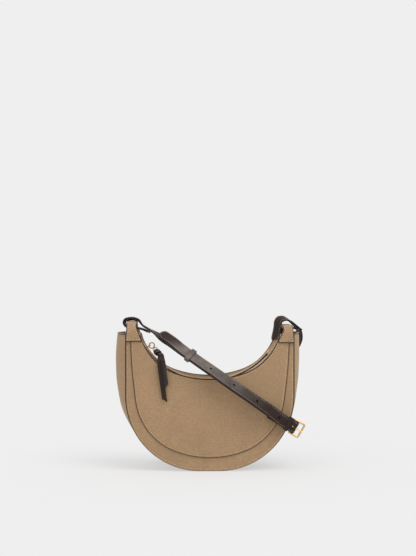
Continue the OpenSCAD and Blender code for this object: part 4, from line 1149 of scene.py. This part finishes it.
def strap_piece(name, run, tip=False):
    """A length of strap along stations, with grooves for its stitches and, where asked, a round tip."""
    half, last = STRAP_W / 2, EDGE_STEPS[-1]
    near = [*EDGE_STEPS, *[half - (half - last) * c for c in (0.66, 0.33, 0)]]
    spots = [-half + d for d in near] + [half - d for d in reversed(near[:-1])]
    grid = [[s[0] + s[2] * a + s[3] * STRAP_T / 2 for a in spots] for s in run]
    dist = [[half - abs(a) for a in spots] for _ in run]
    if tip:
        s = run[-1]
        for angle in steps(0, math.pi / 2, 14)[1:]:
            c, along = max(math.cos(angle), 0.03), math.sin(angle) * half
            grid.append([s[0] + s[1] * along + s[2] * a * c + s[3] * STRAP_T / 2 for a in spots])
            dist.append([max(0, half - math.hypot(along, a * c)) for a in spots])
    grid, dist = np.array(grid).transpose(1, 0, 2), np.array(dist).T
    return closed_sheet(name, grid, STRAP_T, run[len(run) // 2][3], dist, STRAP_PAINT,
                        STRAP_GROOVE, STRAP_GROOVE, STRAP_STITCH_IN)


def leaf_fan(i):
    """How far a leaf stands to its own side at a station: nothing in the wrap, then more and more."""
    return LEAF_FAN * min(1, max(0, i / PULLER_FINE - 1.75) / 3)


def puller_leaf(run, side):
    """One leaf of the puller: side says which way it fans, and where its point is."""
    w = PULLER_W
    moved = [(s[0] + s[3] * side * (PULLER_T + LEAF_GAP) / 2 - s[2] * side * leaf_fan(i), *s[1:])
             for i, s in enumerate(run)]
    end = moved[-1]
    spots = steps(-w / 2, w / 2, 12)
    grid = [[s[0] + s[2] * a + s[3] * PULLER_T / 2 for a in spots] for s in moved]
    for k in (1, 2, 3, 4):
        grid.append([end[0] + end[1] * w * k / 4 * (0.5 + side * a / w) + end[2] * a + end[3] * PULLER_T / 2
                     for a in spots])
    dist = [[min(w / 2 - abs(a), (len(grid) - 1 - k) * 0.8) for a in spots] for k in range(len(grid))]
    return closed_sheet("puller_leaf", grid, PULLER_T, run[2 * PULLER_FINE][3], dist, LEAF_PAINT,
                        LEAF_GROOVE, LEAF_GROOVE)


def make_puller():
    """Two leaves with points on opposite sides, folded round the link and held by a wrap."""
    rows = [in_link(0, 0, -EYE_R - LINK_L)] + [LINK * (1, 0, 1) + PULLER_UNITS * share for share in PULLER]
    rows = [np.array((*place, -1, 0, -0.25)) for place in rows]
    run = stations(smooth(rows, PULLER_FINE))
    parts = [puller_leaf(run, -1), puller_leaf(run[:-LEAF_SHORTER], 1)]
    bar = LINK_WIRE / 2 + FIT + PULLER_T / 2
    half = (LINK_W - LINK_WIRE - 2 * FIT) / 2
    fold = [[in_link(x, bar * math.cos(a), -EYE_R - LINK_L + bar * math.sin(a))
             for x in steps(-half, half, 6)] for a in steps(0.15, math.pi - 0.15, 12)]
    parts.append(closed_sheet("puller_fold", fold, PULLER_T, in_link(0, 0, 1) - LINK))
    dress(joined("puller_leather", parts), "leather", "pull", "puller")
    w, h = PULLER_W + FIT, 2 * PULLER_T + 0.3
    held = stations(smooth(rows, 4))[3:8]
    outer = [band_loop(s, s[0], w + 2 * WRAP_T, h + 2 * WRAP_T, 1.0) for s in held]
    inner = [band_loop(s, s[0], w, h, 0.5) for s in held]
    dress(band("puller_wrap_leather", outer, inner), "leather", "pull", "puller_wrap")


# Strap and buckle

def placed(shares):
    return [np.array((*(PLACE_UNITS * r[:3]), *r[3:])) for r in shares]


def at_buckle(along, across, out=0.0):
    return BUCKLE + BUCKLE_ALONG * along + BUCKLE_ACROSS * across + BUCKLE_OUT * out


def buckle_row(along, out, side):
    return np.array((*at_buckle(along, 0, out), *(side * BUCKLE_ACROSS)))


def fold_rows(r, start, end, n, side):
    return [buckle_row(along, out, side) for along, out in arc(0, 0, r, start, end, n)]


STRAP_FINE = 10
TIP_AT = 2 * STRAP_FINE
FLAT_AT = 3 * STRAP_FINE
CLOSE_AT = 4.5 * STRAP_FINE
TIP_LIFT = 3.2
to_buckle = [buckle_row(-STRAP_W, FOLD_R, 1), buckle_row(-STRAP_W / 2, FOLD_R, 1)]
front_rows = smooth(placed(STRAP_FRONT) + to_buckle, STRAP_FINE)
front_run = stations(front_rows + [buckle_row(0, FOLD_R, 1)])


def upper_station(i):
    """The upper layer over station i: further off towards its tip, and flat where the lower one turns."""
    s, flat = front_run[i], front_run[max(i, FLAT_AT)]
    gap = STRAP_LIFT + TIP_LIFT * max(0, CLOSE_AT - i) / (CLOSE_AT - TIP_AT)
    return np.array((s[0] + flat[3] * gap, -s[1], -flat[2], flat[3]))


def run_place(d):
    """The station of the front run at a distance from the heel bar."""
    for i in range(len(front_run) - 2, -1, -1):
        gap = np.linalg.norm(front_run[i + 1][0] - front_run[i][0])
        if d <= gap:
            s = front_run[i + 1]
            return np.array((s[0] + (front_run[i][0] - s[0]) * d / gap, *s[1:]))
        d -= gap
    return front_run[0]


def edge_paths(run):
    """The stitched lines of a length of strap, on both faces."""
    return [[s[0] + s[2] * side * (STRAP_W / 2 - STRAP_STITCH_IN) + s[3] * face * (STRAP_T / 2 - STRAP_SINK)
             for s in run] for side in (-1, 1) for face in (1, -1)]


def strap_holes():
    """Cutters for the holes that the prong can take."""
    holes = []
    for k in range(4):
        s = run_place(HOLE_FIRST + HOLE_PITCH * k)
        ring = [STRAP_HOLE_R * (s[1] * math.cos(a) + s[2] * math.sin(a)) for a in turn(20)]
        ends = [s[0] + s[3] * (STRAP_LIFT + h) for h in (-CUTTER_REACH, CUTTER_REACH)]
        holes.append(sweep("hole", [[end + r for r in ring] for end in ends]))
    return holes


def make_strap():
    loop = smooth(placed(STRAP_SHORT), STRAP_FINE)
    fold = fold_rows(FOLD_R, 90, -90, 18, 1)
    tail = [buckle_row(-TAIL_L * i / 8, -FOLD_R, 1) for i in range(1, 9)]
    short_run = stations(loop[:-1] + front_rows + fold + tail)
    piece = strap_piece("strap_short_leather", short_run)
    dress(cut(piece, [slot_block()]), "leather", "shell", "strap_short")
    low = stations(smooth(placed(STRAP_BACK), STRAP_FINE) + fold_rows(LOOP_R, 0, 90, 10, -1))
    long_run = low + [upper_station(i) for i in range(len(front_run) - 2, TIP_AT - 1, -1)]
    piece = strap_piece("strap_long_leather", long_run, tip=True)
    dress(cut(piece, strap_holes() + [slot_block()]), "leather", "shell", "strap_long")
    paths = edge_paths(short_run[2:len(loop) + len(front_rows) - 2]) + edge_paths(long_run[2:-2])
    s, half = long_run[-1], STRAP_W / 2 - STRAP_STITCH_IN
    middle = s[0] + s[3] * (STRAP_T / 2 - STRAP_SINK)
    paths.append([middle + s[1] * half * math.cos(a) + s[2] * half * math.sin(a)
                  for a in steps(-math.pi / 2, math.pi / 2, 16)])
    stitches("strap_stitches", paths, "leather", 31)


def make_keepers():
    s = (at_buckle(-KEEPER_BEHIND, 0), BUCKLE_ALONG, BUCKLE_ACROSS, BUCKLE_OUT)
    piece = keeper("fixed_keeper_leather", s, -FOLD_R - STRAP_T / 2, LOOP_R + STRAP_T / 2, 5.5, 0.4)
    dress(piece, "leather", "shell", "fixed_keeper")
    s = front_run[5 * STRAP_FINE]
    piece = keeper("sliding_keeper_leather", s, -STRAP_T / 2, STRAP_T * 1.5 + FIT, 7.0, 0.5)
    dress(piece, "leather", "keeper", "sliding_keeper")


def keeper(name, s, low, high, length, gap):
    """A soft leather band round both layers of the strap."""
    w, h = STRAP_W + 2 * gap, high - low + 2 * gap
    outer, inner = [], []
    for x in (-0.5, -0.46, -0.38, -0.2, 0, 0.2, 0.38, 0.46, 0.5):
        swell_t = KEEPER_T * (1 - 0.45 * max(0, abs(x) - 0.38) / 0.12)
        middle = s[0] + s[3] * (low + high) / 2 + s[1] * x * length
        outer.append(band_loop(s, middle, w + 2 * swell_t, h + 2 * swell_t, 1.3))
        inner.append(band_loop(s, middle, w, h, 0.6))
    return band(name, outer, inner)


def slot_block():
    """The slot that lets the prong through both folds of the strap."""
    plan = [(0, 0)] + arc(0, 0, SLOT_R, -50, 105, 14)
    return sweep("slot", [[at_buckle(x, across, y) for x, y in plan]
                          for across in (-SLOT_HALF_W, SLOT_HALF_W)])


def cut(obj, cutters):
    """Takes the cutters' shapes out of a piece."""
    for cutter in cutters:
        modifier = obj.modifiers.new("Cut", "BOOLEAN")
        modifier.operation, modifier.object, modifier.solver = "DIFFERENCE", cutter, "EXACT"
    settle(obj)
    for cutter in cutters:
        bpy.data.objects.remove(cutter)
    return obj


def make_buckle():
    half, reach, r = STRAP_W / 2 + FIT + BUCKLE_BAR_R, BUCKLE_REACH, 1.6
    heel = r * 0.4
    loop = []
    for cx, side, c, start in ((reach - r, -1, r, 270), (reach - r, 1, r, 0),
                               (heel, 1, heel, 90), (heel, -1, heel, 180)):
        loop += [at_buckle(x, y) for x, y in arc(cx, side * (half - c), c, start, start + 90, 6)]
    piece = ring_tube("buckle_frame_brass", loop, BUCKLE_BAR_R, 16, True, BUCKLE_OUT)
    dress(piece, "gold", "buckle", "buckle_frame")
    rest = math.asin((BUCKLE_BAR_R + PRONG_R + 0.05) / reach)
    start = at_buckle(CURL_R * math.cos(rest), 0, CURL_R * math.sin(rest))
    shaft = [at_buckle(d * math.cos(rest), 0, d * math.sin(rest)) for d in steps(1.9, reach + 0.4, 8)]
    piece = ring_tube("buckle_prong_brass", [start] + shaft, PRONG_R, 12, across=BUCKLE_ACROSS)
    dress(piece, "gold", "prong", "buckle_prong")


# Lining

def make_lining():
    inset = 2 * (BOARD_T + FIT) + LINING_IN
    for side, sign in SIDES:
        low, high = outline(inset, FOOT_Z), zip_curve(STRIP_R + BOARD_T + 2 * FIT)
        grid = [[(x, sign * (LINING_Y + dome(x, z)), z) for x, z in low + (high - low) * t]
                for t in steps(0, 1, 20)]
        piece = closed_sheet(f"lining_{side}_cloth", grid, LINING_T, (0, sign, 0))
        dress(piece, "lining", "shell", "lining_" + side)
    curve, inner_y = outline(0, FOOT_Z), LINING_Y - LINING_T - FIT
    away = outward(curve)
    grid = [[(x, s * inner_y, z) for x, z in curve + away * (bow(curve[:, 1], s) - inset)[:, None]]
            for s in steps(-1, 1, 16)]
    dress(closed_sheet("lining_gusset_cloth", grid, LINING_T, (0, 0, -1)), "lining", "shell", "lining_gusset")


def make_pocket():
    """The slip pocket: open at its upper edge, where it sags a little."""
    inner_y = LINING_Y - LINING_T - 2 * FIT
    grid = []
    for z in steps(POCKET_LOW_Z, POCKET_HIGH_Z, 20):
        stand = POCKET_DEPTH * min(1, (z - POCKET_LOW_Z) / 6 + 0.05)
        sag = POCKET_SAG * math.exp(-((z - POCKET_HIGH_Z) / 9) ** 2)
        grid.append([(x, inner_y + dome(x, z) - stand * math.sqrt(max(0, 1 - (x / POCKET_HALF_W) ** 6))
                      + sag * math.cos(x / 18), z) for x in steps(-POCKET_HALF_W, POCKET_HALF_W, 40)])
    dress(closed_sheet("inner_pocket_cloth", grid, LINING_T, (0, -1, 0)), "lining", "shell", "inner_pocket")


def dress_nodes():
    """Finishes for the solids that stay as they are."""
    for name in ("front_board", "back_board", "base_board", "bridge_backing_left", "bridge_backing_right"):
        dressed(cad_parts[name], "board")
    for name in ("zip_stop_front", "zip_stop_back", "zip_stop_right"):
        dressed(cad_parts[name], "gold")


# Stage: FLOOR_FADE, CAMERA_AIM and CAMERA_FROM are in metres.

FLOOR_LIT = 0.8
FLOOR_R, FLOOR_SIDES = 2400.0, 64
FLOOR_FADE = (0.45, 1.1)
# Each lamp's name, its spread, and its azimuth and height in degrees
LAMPS = (("key", 40, 38, 56), ("fill", 60, -35, 42))
LENS, SENSOR = 75.0, 36.0
CAMERA_AIM = Vector((-0.00275, -0.033, 0.2505))
CAMERA_TURN, CAMERA_FROM = math.radians(-2.0), 1.5


def make_floor(look):
    """A pale floor that shines a little by itself, and clears into the backdrop further off."""
    f = Finish("studio floor")
    pale, where = tuple(look.floor), f.place()
    away = f.add("ShaderNodeVectorMath", {"operation": "LENGTH"}, where, out=1)
    part = FLOOR_LIT * look.floor_share
    shade = f.mix(f.noise(where, 40.0, detail=2.0), toned(pale, part * 0.996), toned(pale, part))
    f.shade(Base_Color=shade, Roughness=0.95, Specular_IOR_Level=0.0, Emission_Color=pale,
            Emission_Strength=1 - look.floor_share)
    clear, blend = f.nodes.new("ShaderNodeBsdfTransparent"), f.nodes.new("ShaderNodeMixShader")
    f.put(blend.inputs[0], f.span(away, *FLOOR_FADE, 1.0, 0.0))
    f.links.new(clear.outputs[0], blend.inputs[1])
    f.links.new(f.shader.outputs[0], blend.inputs[2])
    f.links.new(blend.outputs[0], f.nodes["Material Output"].inputs[0])
    rim = [(FLOOR_R * math.cos(a) * MM, FLOOR_R * math.sin(a) * MM, 0) for a in turn(FLOOR_SIDES)]
    mesh = bpy.data.meshes.new("floor")
    mesh.from_pydata(rim, [], [tuple(range(FLOOR_SIDES))])
    mesh.materials.append(f.material)
    floor = bpy.data.objects.new("floor", mesh)
    bpy.context.scene.collection.objects.link(floor)
    floor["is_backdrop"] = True


def make_world(look):
    """White light from all round, and the backdrop's own colour where the camera sees it."""
    world = bpy.data.worlds.new("studio")
    bpy.context.scene.world = world
    world.use_nodes = True
    nodes, links = world.node_tree.nodes, world.node_tree.links
    light, seen = nodes["Background"], nodes.new("ShaderNodeBackground")
    light.inputs[0].default_value = (1.0, 1.0, 1.0, 1)
    light.inputs[1].default_value = look.sky
    seen.inputs[0].default_value = (*tuple(look.backdrop), 1)
    path, pick = nodes.new("ShaderNodeLightPath"), nodes.new("ShaderNodeMixShader")
    either = nodes.new("ShaderNodeMath")
    either.operation, either.use_clamp = "ADD", True
    for a, b in ((path.outputs["Is Camera Ray"], either.inputs[0]),
                 (path.outputs["Is Transmission Ray"], either.inputs[1]), (either.outputs[0], pick.inputs[0]),
                 (light.outputs[0], pick.inputs[1]), (seen.outputs[0], pick.inputs[2]),
                 (pick.outputs[0], nodes["World Output"].inputs[0])):
        links.new(a, b)


def make_lamps(look):
    for name, spread, azimuth, height in LAMPS:
        lamp = bpy.data.lights.new(name, "SUN")
        lamp.energy, lamp.angle = getattr(look, name), math.radians(spread)
        obj = bpy.data.objects.new(name, lamp)
        a, h = math.radians(azimuth), math.radians(height)
        source = Vector((math.sin(a) * math.cos(h), -math.cos(a) * math.cos(h), math.sin(h)))
        obj.rotation_euler = source.to_track_quat("Z", "Y").to_euler()
        bpy.context.scene.collection.objects.link(obj)


def make_camera():
    scene = bpy.context.scene
    camera = bpy.data.cameras.new("camera")
    camera.lens, camera.sensor_width = LENS, SENSOR
    obj = bpy.data.objects.new("camera", camera)
    back = Vector((math.sin(CAMERA_TURN), -math.cos(CAMERA_TURN), 0))
    obj.location = CAMERA_AIM + back * CAMERA_FROM
    obj.rotation_euler = (math.pi / 2, 0, CAMERA_TURN)
    scene.collection.objects.link(obj)
    scene.camera = obj
    scene.view_settings.view_transform = "Standard"


# Add-on

def metres(name, description, value):
    return bpy.props.FloatProperty(name=name, description=description, default=value, unit="LENGTH")


def strength(name, description, value):
    return bpy.props.FloatProperty(name=name, description=description, default=value)


def tint(name, description, rgb):
    return bpy.props.FloatVectorProperty(name=name, description=description, subtype="COLOR", size=3,
                                         default=linear(rgb), min=0, max=1)


class CrescentSizes(bpy.types.PropertyGroup):
    """Sizes of the stitching"""
    stitch_pitch: metres("Stitch pitch", "Distance from one stitch to the next", 0.0031)
    strap_pitch: metres("Strap stitch pitch", "The same on the strap", 0.0034)
    stitch_length: metres("Stitch length", "Length of thread that shows", 0.0023)
    thread_radius: metres("Thread radius", "Half the thickness of the thread", 0.0005)
    strap_thread_radius: metres("Strap thread radius", "The same on the strap", 0.0004)


class CrescentColours(bpy.types.PropertyGroup):
    """Colours of the bag and of the studio"""
    suede: tint("Suede", "Colour of the suede shell", (166, 136, 104))
    leather: tint("Leather", "Colour of the strap and the puller", (47, 31, 24))
    edge_paint: tint("Edge paint", "Colour of the painted cut edges", (38, 26, 28))
    gold: tint("Metal", "Colour of the buckle, the slider and the rings", (232, 190, 126))
    tan_thread: tint("Tan thread", "Colour of the stitches on the suede", (210, 178, 138))
    dark_thread: tint("Dark thread", "Colour of the stitches on the leather", (158, 146, 132))
    # Painted shade: the colour of the dark dots that stand in for the shadow in the stitches' holes
    needle_hole: tint("Needle holes", "Colour in the holes of the stitches", (74, 54, 44))
    tape: tint("Zip tape", "Colour of the zip's tape", (132, 108, 84))
    lining: tint("Lining", "Colour of the lining cloth", (196, 178, 150))
    floor: tint("Floor", "Colour of the floor", (240, 240, 240))
    backdrop: tint("Backdrop", "Colour behind the bag", (239, 239, 239))
    floor_share: strength("Floor shading", "How much of the floor's light comes from the lamps", 0.42)
    key: strength("Key light", "Strength of the main lamp", 1.4)
    fill: strength("Fill light", "Strength of the second lamp", 0.55)
    sky: strength("Sky light", "Strength of the light from all round", 0.75)


class MakeStage(bpy.types.Operator):
    """Make the floor, the lamps and the camera"""
    bl_idname = "crescent.make_stage"
    bl_label = "Stage"

    def execute(self, context):
        look = context.scene.crescent_colours
        make_floor(look)
        make_world(look)
        make_lamps(look)
        make_camera()
        return {"FINISHED"}


class MakePanels(bpy.types.Operator):
    """Make the suede borders and centre panels, front and back"""
    bl_idname = "crescent.make_panels"
    bl_label = "Panels"

    def execute(self, context):
        make_panels()
        return {"FINISHED"}


class MakeGusset(bpy.types.Operator):
    """Make the bowed gusset between the panels"""
    bl_idname = "crescent.make_gusset"
    bl_label = "Gusset"

    def execute(self, context):
        make_gusset()
        return {"FINISHED"}


class MakeBridges(bpy.types.Operator):
    """Make the bridges over the horns and the caps under them"""
    bl_idname = "crescent.make_bridges"
    bl_label = "Bridges"

    def execute(self, context):
        make_bridges()
        make_horn_caps()
        return {"FINISHED"}


class MakeZip(bpy.types.Operator):
    """Make the strips, tapes, teeth and end tongues of the zip"""
    bl_idname = "crescent.make_zip"
    bl_label = "Zip"

    def execute(self, context):
        make_strips()
        make_zip()
        make_zip_ends()
        return {"FINISHED"}


class MakePuller(bpy.types.Operator):
    """Make the slider, its ring and link, and the leather puller"""
    bl_idname = "crescent.make_puller"
    bl_label = "Slider and puller"

    def execute(self, context):
        make_slider()
        make_ring_and_link()
        make_puller()
        return {"FINISHED"}


class MakeStrap(bpy.types.Operator):
    """Make both lengths of the strap and its keepers"""
    bl_idname = "crescent.make_strap"
    bl_label = "Strap"

    def execute(self, context):
        make_strap()
        make_keepers()
        return {"FINISHED"}


class MakeBuckle(bpy.types.Operator):
    """Make the buckle's frame and prong"""
    bl_idname = "crescent.make_buckle"
    bl_label = "Buckle"

    def execute(self, context):
        make_buckle()
        return {"FINISHED"}


class MakeLining(bpy.types.Operator):
    """Make the lining and its pocket, and finish the boards and stops"""
    bl_idname = "crescent.make_lining"
    bl_label = "Lining and boards"

    def execute(self, context):
        make_lining()
        make_pocket()
        dress_nodes()
        return {"FINISHED"}


OPERATORS = (MakeStage, MakePanels, MakeGusset, MakeBridges, MakeZip, MakePuller, MakeStrap, MakeBuckle,
             MakeLining)


class CrescentPanel(bpy.types.Panel):
    """Lists the bag's pieces, sizes and colours"""
    bl_idname = "VIEW3D_PT_crescent"
    bl_label = "Crescent Bag"
    bl_space_type = "VIEW_3D"
    bl_region_type = "UI"
    bl_category = "Crescent Bag"

    def draw(self, context):
        for operator in OPERATORS:
            self.layout.operator(operator.bl_idname)
        for group in (context.scene.crescent_sizes, context.scene.crescent_colours):
            for name in group.__annotations__:
                self.layout.prop(group, name)


CLASSES = (CrescentSizes, CrescentColours, *OPERATORS, CrescentPanel)


def register():
    for cls in CLASSES:
        bpy.utils.register_class(cls)
    bpy.types.Scene.crescent_sizes = bpy.props.PointerProperty(type=CrescentSizes)
    bpy.types.Scene.crescent_colours = bpy.props.PointerProperty(type=CrescentColours)


def unregister():
    del bpy.types.Scene.crescent_colours
    del bpy.types.Scene.crescent_sizes
    for cls in reversed(CLASSES):
        bpy.utils.unregister_class(cls)


def corners(box):
    return [[round(float(c), 6) for c in corner] for corner in box]


def main():
    register()
    for operator in OPERATORS:
        group, name = operator.bl_idname.split(".")
        getattr(getattr(bpy.ops, group), name)()
    {"cad": corners(cad_box), "visual": corners(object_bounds())}


if __name__ == "__main__":
    main()
